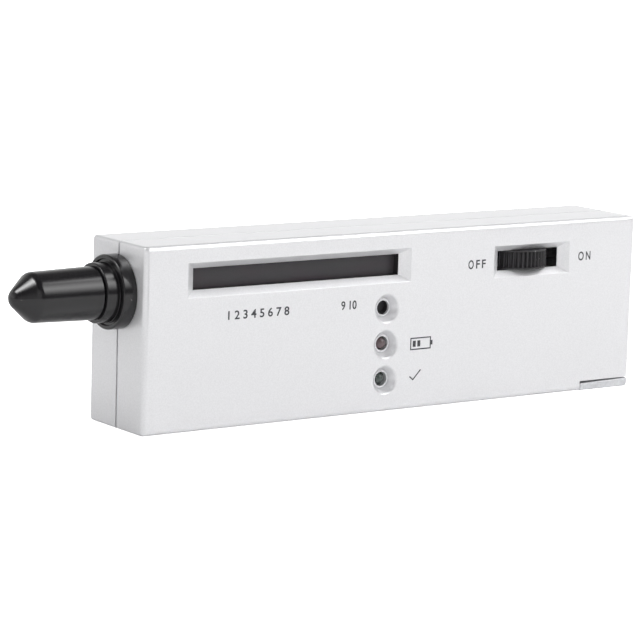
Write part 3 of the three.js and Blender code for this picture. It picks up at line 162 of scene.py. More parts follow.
class StageSettings(PropertyGroup):
    camera_place: FloatVectorProperty(
        name="Camera place", description="Where the camera stands",
        default=(-0.42055, -0.59280, 0.14171), subtype="TRANSLATION", size=3)
    camera_yaw: as_angle("Camera yaw", "Turn of the view from +Y towards +X", 35.237)
    camera_pitch: as_angle("Camera pitch", "How far the view looks down", 9.359)
    camera_roll: as_angle("Camera roll", "Tilt of the picture", 1.717)
    lens: FloatProperty(
        name="Lens", description="Focal length in millimetres on a 36 mm sensor",
        default=167.37, subtype="UNSIGNED")
    floor_size: FloatProperty(
        name="Floor size", description="Width of the square floor", default=9.0, unit="LENGTH")
    floor_colour: as_colour("Floor colour", "Pale floor", (0.93, 0.93, 0.93))
    core_strength: as_radiance("Softbox", "softbox on the right of the camera", 5.0)
    right_strength: as_radiance("Right light", "light high on the right", 6.5)
    side_strength: as_radiance("Side light", "high strip on the left that only gloss shows", 23.0)
    edge_strength: as_radiance("Edge light", "light above that only gloss shows, on upper edges", 5.0)
    left_strength: as_radiance("Left light", "broad light on the left", 0.9)
    front_strength: as_radiance("Front light", "low light in front", 1.5)
    fill_strength: as_radiance("Fill light", "weak light behind the camera", 0.5)
    sky_strength: as_radiance("Surround", "pale surround", 1.12)


class TesterSettings(PropertyGroup):
    case: PointerProperty(type=CaseSettings)
    probe: PointerProperty(type=ProbeSettings)
    wheel: PointerProperty(type=WheelSettings)
    marking: PointerProperty(type=MarkingSettings)
    stage: PointerProperty(type=StageSettings)


# Shader groups that the finishes share
def feed(tree, socket, given):
    """Links a socket to another one, or gives it a value."""
    if isinstance(given, NodeSocket):
        tree.links.new(given, socket)
    else:
        socket.default_value = given


def fill(tree, node, **inputs):
    """Feeds a node's inputs by name, with underscores for spaces."""
    for name, given in inputs.items():
        feed(tree, node.inputs[name.replace("_", " ")], given)
    return node


def placed(tree, kind, **inputs):
    """A new shader node with its inputs fed, all given as values or sockets."""
    return fill(tree, tree.nodes.new(kind), **inputs)


def map_range(tree, value, low, high, to_low, to_high):
    """A value stretched from two ends to two others, and clamped."""
    return placed(tree, "ShaderNodeMapRange", Value=value, From_Min=low, From_Max=high,
                  To_Min=to_low, To_Max=to_high).outputs["Result"]


def arithmetic(tree, operation, first, second=0.0):
    """One operation on numbers or sockets."""
    node = placed(tree, "ShaderNodeMath")
    node.operation = operation
    feed(tree, node.inputs[0], first)
    feed(tree, node.inputs[1], second)
    return node.outputs["Value"]


def noise(tree, vector, scale, detail):
    """The value of a noise from 0 to 1."""
    return placed(tree, "ShaderNodeTexNoise", Vector=vector, Scale=scale, Detail=detail).outputs["Fac"]


def split(tree, vector):
    """The X, Y and Z of a vector."""
    return placed(tree, "ShaderNodeSeparateXYZ", Vector=vector).outputs


def shader_group(name, values, outputs):
    """A new node group of a vector and named values, and the sockets of its input and output nodes."""
    group = bpy.data.node_groups.new(name, "ShaderNodeTree")
    group.interface.new_socket("Vector", in_out="INPUT", socket_type="NodeSocketVector")
    for socket, value in values.items():
        made = group.interface.new_socket(socket, in_out="INPUT", socket_type="NodeSocketFloat")
        made.default_value = value
    for socket in outputs:
        group.interface.new_socket(socket, in_out="OUTPUT", socket_type="NodeSocketFloat")
    return group, group.nodes.new("NodeGroupInput").outputs, group.nodes.new("NodeGroupOutput").inputs


def round_one(tree, value, amount):
    """A shade that stays within an amount of one, from the middle of a noise."""
    low = arithmetic(tree, "SUBTRACT", 1.0, amount)
    high = arithmetic(tree, "ADD", 1.0, amount)
    return map_range(tree, value, 0.3, 0.7, low, high)


def fine_grain():
    """Fine moulding or paint grain: a shade round one, and a height."""
    group, taken, given = shader_group("fine_grain", {"Scale": 2000.0, "Contrast": 0.03}, ("Shade", "Height"))
    speckle = noise(group, taken["Vector"], taken["Scale"], 2.0)
    group.links.new(round_one(group, speckle, taken["Contrast"]), given["Shade"])
    group.links.new(speckle, given["Height"])
    return group


def broad_patches():
    """Broad uneven patches: a shade round one."""
    group, taken, given = shader_group("broad_patches", {"Scale": 40.0, "Amount": 0.03}, ("Shade",))
    patches = noise(group, taken["Vector"], taken["Scale"], 3.0)
    group.links.new(round_one(group, patches, taken["Amount"]), given["Shade"])
    return group


def dust_specks():
    """Scattered specks of dust: a mask that is one on a speck."""
    values = {"Scale": 900.0, "Size": 0.12, "Cover": 0.5}
    group, taken, given = shader_group("dust_specks", values, ("Mask",))
    cells = placed(group, "ShaderNodeTexVoronoi", Vector=taken["Vector"], Scale=taken["Scale"])
    speck = arithmetic(group, "LESS_THAN", cells.outputs["Distance"], taken["Size"])
    broad = arithmetic(group, "MULTIPLY", taken["Scale"], 0.13)
    where = noise(group, taken["Vector"], broad, 1.0)
    there = arithmetic(group, "GREATER_THAN", where, taken["Cover"])
    group.links.new(arithmetic(group, "MULTIPLY", speck, there), given["Mask"])
    return group


def use_group(tree, maker, vector, **values):
    """Places a shared group, made at its first use, in a material with its own values."""
    node = placed(tree, "ShaderNodeGroup")
    node.node_tree = bpy.data.node_groups.get(maker.__name__) or maker()
    return fill(tree, node, Vector=vector, **values)


# Sockets of a Mix node for colours
MIX_FACTOR, MIX_FIRST, MIX_SECOND, MIX_RESULT = 0, 6, 7, 2


def mixed(tree, blend, factor, first, second):
    """Two colours mixed in one way; factor and colours are values or sockets."""
    node = placed(tree, "ShaderNodeMix")
    node.data_type = "RGBA"
    node.blend_type = blend
    for socket, given in ((MIX_FACTOR, factor), (MIX_FIRST, first), (MIX_SECOND, second)):
        feed(tree, node.inputs[socket], given)
    return node.outputs[MIX_RESULT]


def rgba(colour):
    return (*colour[:3], 1.0)


WHITE = (1.0, 1.0, 1.0, 1.0)
DUST_COLOUR = (0.24, 0.24, 0.24, 1.0)
BUMP_HEIGHT = 0.05 * MM


def finish(name, colour, roughness, metallic=0.0, grain=(1500, 0.03, 0.02), patch=(40, 0.04), dust=None,
           pattern=None):
    """A procedural finish: a colour with grain (scale, contrast, bump) and patches (scale, amount), and with dust
    (scale, size, cover) and a pattern where they are given."""
    material = bpy.data.materials.new(name)
    material.use_nodes = True
    tree = material.node_tree
    vector = placed(tree, "ShaderNodeTexCoord").outputs["Object"]
    fine = use_group(tree, fine_grain, vector, Scale=grain[0], Contrast=grain[1])
    broad = use_group(tree, broad_patches, vector, Scale=patch[0], Amount=patch[1])
    shade = arithmetic(tree, "MULTIPLY", fine.outputs["Shade"], broad.outputs["Shade"])
    plain = rgba(colour) if pattern is None else pattern(tree, vector, rgba(colour))
    shown_colour = mixed(tree, "MULTIPLY", 1.0, plain, shade)
    shown_roughness = arithmetic(tree, "MULTIPLY", broad.outputs["Shade"], roughness)
    if dust:
        specks = use_group(tree, dust_specks, vector, Scale=dust[0], Size=dust[1], Cover=dust[2])
        shown_colour = mixed(tree, "MIX", specks.outputs["Mask"], shown_colour, DUST_COLOUR)
        shown_roughness = arithmetic(tree, "MAXIMUM", shown_roughness, specks.outputs["Mask"])
    bump = placed(tree, "ShaderNodeBump", Strength=grain[2], Distance=BUMP_HEIGHT, Height=fine.outputs["Height"])
    fill(tree, tree.nodes["Principled BSDF"], Normal=bump.outputs["Normal"], Base_Color=shown_colour,
         Roughness=shown_roughness, Metallic=metallic)
    return material


def band_pattern(node, width, bands):
    """Colour bands along x on a CAD node: (place from -1 to 1, half width, colour) each."""
    centre = middle(node).x

    def pattern(tree, vector, plain):
        along = map_range(tree, split(tree, vector)["X"], centre - width, centre + width, -1.0, 1.0)
        colour = plain
        for place, half, band in bands:
            away = arithmetic(tree, "ABSOLUTE", arithmetic(tree, "SUBTRACT", along, place))
            inside = arithmetic(tree, "LESS_THAN", away, half)
            colour = mixed(tree, "MIX", inside, colour, rgba(linear(*band)))
        return colour
    return pattern


def trace_pattern(tree, vector, plain):
    """Lighter copper tracks under the board's lacquer, along its length with steps across."""
    wave = placed(tree, "ShaderNodeTexWave", Vector=vector, Scale=105.0, Distortion=2.5, Detail=1.0, Detail_Scale=0.6)
    wave.bands_direction = "Z"
    lit = map_range(tree, wave.outputs["Fac"], 0.62, 0.68, 0.0, 1.0)
    return mixed(tree, "MIX", lit, plain, rgba(linear(78, 138, 92)))


def purple_pattern(tree, vector, plain):
    """The window's faint warmer patches."""
    stretched = placed(tree, "ShaderNodeMapping", Vector=vector, Scale=(60.0, 60.0, 240.0))
    warm = map_range(tree, noise(tree, stretched.outputs["Vector"], 1.0, 2.0), 0.45, 0.7, 0.0, 0.6)
    return mixed(tree, "MIX", warm, plain, rgba(linear(60, 48, 56)))


RESISTOR_RINGS = ((-0.42, 0.06, (150, 82, 30)), (-0.18, 0.06, (25, 24, 24)), (0.06, 0.06, (190, 60, 40)),
                  (0.42, 0.05, (180, 150, 80)))


def finishes(settings):
    """Every finish by its material slot."""
    battery_low, battery_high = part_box("battery")
    patterns = {
        "smoked_window": purple_pattern,
        "board_green": trace_pattern,
        "capacitor_sleeve": band_pattern("capacitor_1", 2.5 * MM, ((0.75, 0.2, (190, 194, 200)),)),
        "resistor_lacquer": band_pattern("resistor_1", 3.15 * MM, RESISTOR_RINGS),
        "battery_jacket": band_pattern("battery", (battery_high.x - battery_low.x) / 2,
                                       ((-0.78, 0.24, (176, 140, 84)),)),
    }
    # Colour, roughness, metallic, grain, patches and dust, as finish takes them
    rows = {
        "case_plastic": (settings.case.colour, 0.32, 0.4, (3000, 0.04, 0.05), (14, 0.012)),
        "door_plastic": (linear(208, 209, 212), 0.45, 0.4, (2200, 0.08, 0.15), (60, 0.03)),
        "foam": (linear(60, 60, 62), 0.95, 0.0, (900, 0.35, 0.9), (120, 0.1)),
        "black_gloss": (settings.probe.colour, 0.18, 0.0, (1800, 0.05, 0.012), (70, 0.06), (620, 0.06, 0.56)),
        "black_matt": (linear(42, 41, 43), 0.6, 0.0, (1600, 0.06, 0.05), (50, 0.05)),
        "smoked_window": (linear(58, 56, 59), 0.55, 0.0, (2600, 0.05, 0.01), (40, 0.05)),
        "wheel_black": (settings.wheel.colour, 0.5, 0.0, (2200, 0.08, 0.08), (120, 0.12), (700, 0.1, 0.6)),
        "clear_red": (linear(92, 78, 80), 0.09, 0.0, (900, 0.05, 0.02), (300, 0.2)),
        "clear_green": (linear(62, 70, 67), 0.09, 0.0, (900, 0.05, 0.02), (300, 0.2)),
        "lamp_green": (linear(95, 127, 90), 0.35),
        "lamp_red": (linear(138, 74, 68), 0.35),
        "board_green": (linear(40, 92, 56), 0.38, 0.0, (1200, 0.05, 0.04), (60, 0.06)),
        "chip_black": (linear(40, 39, 41), 0.62, 0.0, (2500, 0.12, 0.2), (120, 0.06)),
        "trimmer_blue": (linear(58, 95, 154), 0.42, 0.0, (1500, 0.04, 0.05)),
        "capacitor_sleeve": (linear(43, 58, 99), 0.3, 0.0, (1200, 0.04, 0.02)),
        "resistor_lacquer": (linear(203, 181, 140), 0.35, 0.0, (1500, 0.05, 0.03)),
        "steel": (linear(185, 187, 190), 0.3, 1.0, (2600, 0.06, 0.06), (200, 0.08)),
        "brass": (linear(201, 167, 90), 0.33, 1.0, (2600, 0.06, 0.06), (200, 0.1)),
        "copper": (linear(190, 118, 76), 0.28, 1.0, (2600, 0.06, 0.04), (300, 0.12)),
        "ceramic": (linear(230, 224, 210), 0.6, 0.0, (1800, 0.04, 0.1)),
        "plug_plastic": (linear(217, 211, 196), 0.55),
        "rotor_plastic": (linear(216, 212, 200), 0.5),
        "pot_laminate": (linear(106, 74, 48), 0.55, 0.0, (900, 0.12, 0.1), (90, 0.1)),
        "battery_jacket": (linear(52, 54, 60), 0.35, 0.6, (1500, 0.04, 0.03), (60, 0.05)),
        "red_insulation": (linear(179, 38, 42), 0.45),
        "black_insulation": (linear(29, 28, 30), 0.45),
        "white_insulation": (linear(233, 231, 223), 0.45),
        "ink": (settings.marking.colour, 0.6, 0.0, (2500, 0.12, 0.02), (400, 0.1)),
    }
    made = {slot: finish(slot, *row, pattern=patterns.get(slot)) for slot, row in rows.items()}
    for slot in ("clear_red", "clear_green"):
        tree = made[slot].node_tree
        fill(tree, tree.nodes["Principled BSDF"], Coat_Weight=0.6)
    return made


FINISHES = {}


def finish_of(slot):
    """The finish of a slot, made with the others at the first call."""
    if not FINISHES:
        FINISHES.update(finishes(bpy.context.scene.tester))
    return FINISHES[slot]


# Shapes
def arc(radius, height, size, start, end, steps=6):
    """Profile points of an arc about (radius, height); angles in degrees."""
    points = []
    for step in range(steps + 1):
        angle = math.radians(start + (end - start) * step / steps)
        points.append((radius + size * math.cos(angle), height + size * math.sin(angle)))
    return points


def turned(bm, profile, steps=ROUND_STEPS):
    """Adds a closed solid spun from a profile of (radius, height) about the z axis."""
    start = len(bm.verts)
    verts = [bm.verts.new((max(radius, 0.0), 0.0, height)) for radius, height in profile]
    edges = [bm.edges.new(pair) for pair in zip(verts, verts[1:])]
    if profile[0][0] > WELD:
        edges.append(bm.edges.new((verts[-1], verts[0])))
    bmesh.ops.spin(bm, geom=verts + edges, cent=(0, 0, 0), axis=(0, 0, 1), angle=math.tau, steps=steps,
                   use_merge=True)
    bm.verts.ensure_lookup_table()
    made = bm.verts[start:]
    bmesh.ops.remove_doubles(bm, verts=made, dist=WELD)
    bmesh.ops.recalc_face_normals(bm, faces=bm.faces)
    return bm


def block(bm, low, high, soft=0.0, segments=3):
    """Adds a box between two corners, with soft edges."""
    low, high = Vector(low), Vector(high)
    made = bmesh.ops.create_cube(bm, size=1.0)["verts"]
    bmesh.ops.scale(bm, vec=high - low, verts=made)
    bmesh.ops.translate(bm, vec=(low + high) / 2, verts=made)
    if soft:
        soften(bm, list({edge for vert in made for edge in vert.link_edges}), soft, segments)
    return bm


def soften(bm, edges, width, segments=3):
    bmesh.ops.bevel(bm, geom=edges, offset=width, segments=segments, profile=0.5, affect="EDGES",
                    clamp_overlap=True, material=-1)


def creases(bm, test):
    """Edges that turn sharply and whose ends both pass the test."""
    return [edge for edge in bm.edges
            if len(edge.link_faces) == 2 and edge.calc_face_angle(0.0) > CREASE
            and all(test(vert.co) for vert in edge.verts)]


def edges_at(bm, *places):
    """Edges whose ends both lie on every plane, given as (axis, place)."""
    return [edge for edge in bm.edges
            if all(abs(vert.co[axis] - place) < WELD for vert in edge.verts for axis, place in places)]


def run_x(edge):
    """How far an edge runs along x."""
    return abs(edge.verts[0].co.x - edge.verts[1].co.x)


def raise_faces(bm, height):
    """Gives all of a flat shape's faces a height along z."""
    geom = bmesh.ops.extrude_face_region(bm, geom=bm.faces[:])["geom"]
    verts = [part for part in geom if isinstance(part, bmesh.types.BMVert)]
    bmesh.ops.translate(bm, vec=(0, 0, height), verts=verts)
    bmesh.ops.recalc_face_normals(bm, faces=bm.faces)


def cad_copy(node):
    """A copy of a CAD node's mesh with its doubles merged and its flat faces whole."""
    bm = bmesh.new()
    bm.from_mesh(frame["nodes"][node].data)
    bmesh.ops.remove_doubles(bm, verts=bm.verts, dist=WELD / 5)
    bmesh.ops.dissolve_limit(bm, angle_limit=FLAT, verts=bm.verts, edges=bm.edges)
    return bm


def laid(bm, turn, place):
    """Turns every vertex by a matrix about the origin, then moves it to its place."""
    bmesh.ops.transform(bm, matrix=Matrix.Translation(place) @ turn.to_4x4(), verts=bm.verts)
    return bm


# Turns that point a shape's heights the way that they are named for
FACING_FRONT = Matrix.Rotation(math.pi / 2, 3, "X")
FACING_BACK = Matrix.Rotation(-math.pi / 2, 3, "X")
FACING_LEFT = Matrix.Rotation(-math.pi / 2, 3, "Y")
FACING_RIGHT = Matrix.Rotation(math.pi / 2, 3, "Y")


def on_probe(bm):
    """Lays a spun shape on the probe's axis, its heights running out from the case's end."""
    axis = middle("probe_nose")
    return laid(bm, FACING_LEFT, (CASE.x, axis.y, axis.z))


def add_to(bm, other):
    """Adds one shape to another and frees it."""
    mesh = bpy.data.meshes.new("added")
    other.to_mesh(mesh)
    other.free()
    bm.from_mesh(mesh)
    bpy.data.meshes.remove(mesh)
    return bm


def shown(name, data):
    """A new object in the scene for a mesh, curve, light or camera."""
    made = bpy.data.objects.new(name, data)
    bpy.context.scene.collection.objects.link(made)
    return made


def mesh_from(bm, name):
    """A mesh of the shape, smooth up to its creases, and frees the shape."""
    for face in bm.faces:
        face.smooth = True
    mesh = bpy.data.meshes.new(name)
    bm.to_mesh(mesh)
    bm.free()
    for attribute in ("custom_normal", "sharp_edge", "sharp_face"):
        if attribute in mesh.attributes:
            mesh.attributes.remove(mesh.attributes[attribute])
    mesh.set_sharp_from_angle(angle=CREASE)
    return mesh


def piece(name, bm, body, slot, *nodes, ink=None):
    """Makes the finished piece: it rides on a body, has its slot's finish and stands for CAD nodes."""
    mesh = mesh_from(bm, name)
    mesh.materials.clear()
    mesh.materials.append(finish_of(ink or slot))
    made = shown(name, mesh)
    weighted = made.modifiers.new("even_normals", "WEIGHTED_NORMAL")
    weighted.keep_sharp = True
    weighted.weight = 80
    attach(made, body)
    if nodes:
        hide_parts(*nodes)
    return made


def carved(bm, cutter):
    """The first shape less the second, as a new bmesh."""
    objects = []
    for shape in (bm, cutter):
        mesh = bpy.data.meshes.new("carve")
        shape.to_mesh(mesh)
        shape.free()
        objects.append(shown("carve", mesh))
    cut = objects[0].modifiers.new("cut", "BOOLEAN")
    cut.operation = "DIFFERENCE"
    cut.solver = "EXACT"
    cut.object = objects[1]
    bpy.context.view_layer.update()
    done = objects[0].evaluated_get(bpy.context.evaluated_depsgraph_get())
    result = bmesh.new()
    result.from_mesh(done.data)
    for made in objects:
        bpy.data.objects.remove(made)
    return result


# Pieces of the case
RECESSES = [middle(node) for node in ("sounder", "battery_lamp", "ready_lamp")]


def off_skin(place):
    """How far a place is from the nearer end of the case, and from the nearer of its top and foot."""
    return (min(abs(place.x - CASE.x), abs(place.x - CASE_FAR.x)),
            min(abs(place.z - CASE.z), abs(place.z - CASE_FAR.z)))


def in_corner(place):
    """True near one of the case's four edges along the depth."""
    return max(off_skin(place)) < CORNER_REACH


def on_skin(place):
    """True on the flat outside of the case's ends, top and foot."""
    return min(off_skin(place)) < FLUSH


def over_recess(place):
    """True on the front round one of the three recesses."""
    return any(math.hypot(place.x - spot.x, place.z - spot.z) < RECESS_REACH for spot in RECESSES)


def tighten(bm, face_y, sides, radius):
    """Shrinks the CAD's round between the front or back face and outer sides, given as (axis, place)."""
    share = radius / CAD_ROUND
    for vert in bm.verts:
        near = [(axis, place) for axis, place in sides if abs(vert.co[axis] - place) < CAD_ROUND + WELD]
        if near and abs(vert.co.y - face_y) < CAD_ROUND + WELD:
            for axis, place in (*near, (1, face_y)):
                vert.co[axis] = place + (vert.co[axis] - place) * share


def shell(node, face_y, rim_y, settings):
    """A cover from its CAD node, with rounded window rims, corners and seam edges."""
    bm = cad_copy(node)
    back_off = settings.seam_widening / 2
    if face_y > rim_y:
        tighten(bm, face_y, CASE_SIDES, settings.back_round)
    else:
        back_off = -back_off
        right_strip = 3 * MM
        bmesh.ops.bisect_plane(bm, geom=bm.verts[:] + bm.edges[:] + bm.faces[:], dist=WELD,
                               plane_co=CASE_FAR - Vector((right_strip, 0, 0)), plane_no=(1, 0, 0))
        tighten(bm, face_y, CASE_SIDES[1:2], settings.right_round)
    rim = [vert for vert in bm.verts if abs(vert.co.y - rim_y) < FLUSH]
    bmesh.ops.translate(bm, vec=(0, back_off, 0), verts=rim)
    rim_y += back_off
    for recess, width, segments in ((True, settings.recess_round, 5), (False, settings.rim_round, 3)):
        rims = creases(bm, lambda place: abs(place.y - face_y) < FLUSH and over_recess(place) == recess)
        soften(bm, rims, width, segments)
    tongue = 3 * MM
    corners = creases(bm, lambda place: in_corner(place) and (abs(place.y - rim_y) > tongue or on_skin(place)))
    soften(bm, [edge for edge in corners if run_x(edge) < tongue], settings.corner_round, 5)
    seam = creases(bm, lambda place: abs(place.y - rim_y) < FLUSH and (on_skin(place) or in_corner(place)))
    soften(bm, seam, settings.seam_round, 2)
    for vert in bm.verts:
        vert.co = [min(max(place, low), high) for place, low, high in zip(vert.co, CASE, CASE_FAR)]
    return bm


class TESTER_OT_covers(Operator):
    """Makes the front and back covers of the case"""
    bl_idname = "tester.covers"
    bl_label = "Covers"

    def execute(self, context):
        settings = context.scene.tester.case
        front_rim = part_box("front_cover")[1].y
        back_rim = CASE_FAR.y - (front_rim - CASE.y)
        front = shell("front_cover", CASE.y, front_rim, settings)
        back = shell("back_cover", CASE_FAR.y, back_rim, settings)
        piece("front_shell", front, "case", "case_plastic", "front_cover")
        piece("back_shell", back, "case", "case_plastic", "back_cover")
        return {"FINISHED"}


class TESTER_OT_door(Operator):
    """Makes the battery door and the foam pad on its inside"""
    bl_idname = "tester.door"
    bl_label = "Battery door"

    def execute(self, context):
        # The tongue, whose top falls away from the end, and its rounds
        left, right, front, back, drop = 133.4, 149.3, 0.15, 23.85, 0.36 * MM
        bm = block(bmesh.new(), at(left, front, 0), at(right, back, 2.22))
        lowered = [vert for vert in bm.verts if vert.co.x < CASE_FAR.x - WELD and vert.co.z > CASE.z + WELD]
        bmesh.ops.translate(bm, vec=(0, 0, -drop), verts=lowered)
        soften(bm, edges_at(bm, (0, CASE_FAR.x), (2, CASE.z)), 0.9 * MM, 6)
        faces = (at(0, front, 0).y, at(0, back, 0).y)
        soften(bm, creases(bm, lambda place: min(abs(place.y - face) for face in faces) < WELD), 0.35 * MM)
        # The plate in the case's end, and the hook in its two steps
        block(bm, at(147.3, 3.05, 2), at(right, 20.95, 30.2), 0.25 * MM)
        block(bm, at(left, 6, 1.8), at(136.4, 18, 3.05), 0.14 * MM, 2)
        block(bm, at(130.4, 6, 2.3), at(133.6, 18, 3.05), 0.14 * MM, 2)
        piece("slide_door", bm, "door", "door_plastic", "battery_door")
        pad = block(bmesh.new(), *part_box("battery_pad"), 0.3 * MM, 4)
        foam = piece("door_foam", pad, "door", "foam", "battery_pad")
        return {"FINISHED"}


# Pieces of the probe; profiles are (radius, height out from the case's end)
def in_mm(profile):
    """A profile given in millimetres, in metres."""
    return [(radius * MM, height * MM) for radius, height in profile]


def reach_of(node):
    """How far a node's far and near end are out from the case's end."""
    low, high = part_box(node)
    return CASE.x - low.x, CASE.x - high.x


class TESTER_OT_cap(Operator):
    """Makes the protective cap: a slow taper, a round shoulder and a cone with a rounded tip"""
    bl_idname = "tester.cap"
    bl_label = "Protective cap"

    def execute(self, context):
        size = context.scene.tester.probe
        reach, mouth = reach_of("protective_cap")
        angle = size.cap_half_angle
        degrees = math.degrees(angle)
        centre = reach - size.cap_tip
        foot_radius = size.cap_tip * math.cos(angle)
        foot_height = centre + size.cap_tip * math.sin(angle)
        corner = foot_height - (size.cap_shoulder - foot_radius) / math.tan(angle)
        back = size.cap_shoulder_round * math.tan(angle / 2)
        round_radius = size.cap_shoulder - size.cap_shoulder_round
        lip = 0.25 * MM
        outside = [
            (size.cap_mouth - lip, mouth),
            *arc(size.cap_mouth - lip, mouth + lip, lip, -90, 0),
            *arc(round_radius, corner - back, size.cap_shoulder_round, 0, degrees, 10),
            *arc(0.0, centre, size.cap_tip, degrees, 90, 10),
        ]
        bore, bore_end, room_start = 5.3 * MM, mouth + 3.6 * MM, mouth + 4 * MM
        inner_tip = reach - size.cap_wall - size.cap_tip / 4
        inner_radius = size.cap_shoulder - size.cap_wall
        inside = [
            (0.0, inner_tip),
            (inner_radius, inner_tip - inner_radius / math.tan(angle)),
            (inner_radius, room_start),
            (bore, bore_end),
            (bore, mouth),
        ]
        bm = turned(bmesh.new(), inside + outside)
        piece("cap_shell", on_probe(bm), "cap", "black_gloss", "protective_cap")
        return {"FINISHED"}


class TESTER_OT_collar(Operator):
    """Makes the collar: a flange with a grooved face, a neck and the spigot that holds the cap"""
    bl_idname = "tester.collar"
    bl_label = "Probe collar"

    def execute(self, context):
        groove = context.scene.tester.probe.collar_groove / MM
        profile = [
            (4.2, -4.3), (8.0, -4.3), (8.0, -2.3), (6.0, -2.3), (6.0, 0.1), (8.83, 0.1),
            *arc(8.83, 0.2, 0.1, -90, 0, 2),
            *arc(8.53, 3.26, 0.4, 0, 90),
            *arc(8.0, 3.56, 0.1, 90, 150, 2),
            (7.78, 3.66 - groove), (7.3, 3.66 - groove),
            *arc(7.28, 3.8, 0.1, 270, 180, 3),
            *arc(6.88, 6.74, 0.3, 0, 90),
            (5.0, 7.04), (5.0, 10.19), *arc(4.75, 10.19, 0.25, 0, 90), (4.2, 10.44),
        ]
        bm = turned(bmesh.new(), in_mm(profile))
        piece("collar_ring", on_probe(bm), "case", "black_gloss", "probe_collar")
        return {"FINISHED"}


class TESTER_OT_nose(Operator):
    """Makes the insulating nose sleeve and the copper contact tip"""
    bl_idname = "tester.nose"
    bl_label = "Nose and tip"

    def execute(self, context):
        front, rear = (place / MM for place in reach_of("probe_nose"))
        inner, outer, flange, bore = 3.0, 3.9, 5.6, 0.9
        sleeve = [
            (inner, rear), (outer, rear), (outer, rear + 1.9), (flange, rear + 1.9), (flange, rear + 3.4),
            (outer, rear + 3.4), *arc(1.9, front - 9, 2.0, 0, 13, 3), *arc(1.4, front - 0.3, 0.3, 13, 90, 4),
            (bore, front), (bore, 7.5), (inner, 7.5),
        ]
        piece("nose_sleeve", on_probe(turned(bmesh.new(), in_mm(sleeve))), "case", "black_matt", "probe_nose")
        end, start = (place / MM for place in reach_of("probe_tip"))
        needle, disc, thick = 0.6, 2.7, 0.8
        disc_at = start + 1.2
        profile = [
            (0.0, start), (needle, start), (needle, disc_at), (disc, disc_at), (disc, disc_at + thick),
            (needle, disc_at + thick), (needle, end - 1.1), (0.34, end - 0.2),
            *arc(0.0, end - 0.3, 0.3, 30, 90, 4),
        ]
        tip = turned(bmesh.new(), in_mm(profile), SMALL_STEPS)
        piece("contact_tip", on_probe(tip), "tip", "copper", "probe_tip")
        return {"FINISHED"}


class TESTER_OT_spring(Operator):
    """Makes the coil spring behind the contact tip"""
    bl_idname = "tester.spring"
    bl_label = "Probe spring"

    def execute(self, context):
        low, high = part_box("probe_spring")
        centre = (low + high) / 2
        wire, turns, steps = 0.22 * MM, 5, 24
        radius = (high.y - low.y) / 2 - wire
        length = high.x - low.x
        bm = bmesh.new()
        section = bmesh.ops.create_circle(bm, segments=10, radius=wire)["verts"]
        bmesh.ops.rotate(bm, verts=section, cent=(0, 0, 0), matrix=FACING_FRONT)
        bmesh.ops.translate(bm, vec=(radius, 0, wire), verts=section)
        rise = (length - 2 * wire) / (turns * steps)
        bmesh.ops.spin(bm, geom=bm.verts[:] + bm.edges[:], cent=(0, 0, 0), axis=(0, 0, 1), dvec=(0, 0, rise),
                       angle=math.tau * turns, steps=turns * steps, use_merge=False)
        bmesh.ops.holes_fill(bm, edges=[edge for edge in bm.edges if edge.is_boundary])
        bmesh.ops.recalc_face_normals(bm, faces=bm.faces)
        laid(bm, FACING_RIGHT, (low.x, centre.y, centre.z))
        coil = piece("coil_spring", bm, "case", "steel", "probe_spring")
        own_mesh(coil)
        return {"FINISHED"}


# Thumbwheel: how much of its height a rib has at each step across it, and how far the ribs are turned
RIB_CROSS = (0.3, 0.0, 0.0, 0.0, 0.3, 0.9, 1.0, 0.9)
RIB_TURN = math.radians(-93.2)


class TESTER_OT_wheel(Operator):
    """Makes the thumbwheel: a drum with narrow upright ribs between two plain lips"""
    bl_idname = "tester.wheel"
    bl_label = "Thumbwheel"

    def execute(self, context):
        size = context.scene.tester.wheel
        low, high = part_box("thumbwheel")
        radius = (high.x - low.x) / 2
        height = high.z - low.z + 2 * size.fill
        edge, bore, sunk, lip_steps = 0.4 * MM, 2.3 * MM, 0.1 * MM, 160
        drum = radius - sunk - size.rib_height
        band = 0.6 * size.lip
        bm = bmesh.new()
        ring = bmesh.ops.create_circle(bm, segments=size.ribs * len(RIB_CROSS), radius=drum)["verts"]
        for place, vert in enumerate(ring):
            vert.co *= 1 + RIB_CROSS[place % len(RIB_CROSS)] * size.rib_height / drum
        bmesh.ops.rotate(bm, verts=ring, cent=(0, 0, 0), matrix=Matrix.Rotation(RIB_TURN, 3, "Z"))
        bmesh.ops.create_circle(bm, segments=SMALL_STEPS, radius=bore)
        bmesh.ops.triangle_fill(bm, edges=bm.edges, use_beauty=True)
        raise_faces(bm, height - 2 * band)
        bmesh.ops.translate(bm, vec=(0, 0, band - height / 2), verts=bm.verts)
        flat = radius - edge
        for side in BOTH_SIDES:
            outer = side * height / 2
            foot, top = sorted((outer, outer - side * size.lip))
            turned(bm, [(bore, foot), (flat, foot), *arc(flat, foot + edge, edge, -90, 0, 3),
                        *arc(flat, top - edge, edge, 0, 90, 3), (bore, top)], lip_steps)
        laid(bm, Matrix.Identity(3), (low + high) / 2)
        piece("knurled_wheel", bm, "wheel", "wheel_black", "thumbwheel")
        return {"FINISHED"}


# Display and lamps
class TESTER_OT_display(Operator):
    """Makes the smoked window of the display"""
    bl_idname = "tester.display"
    bl_label = "Display window"

    def execute(self, context):
        bm = block(bmesh.new(), *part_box("display_lens"), soft=0.12 * MM)
        piece("smoked_lens", bm, "case", "smoked_window", "display_lens")
        return {"FINISHED"}


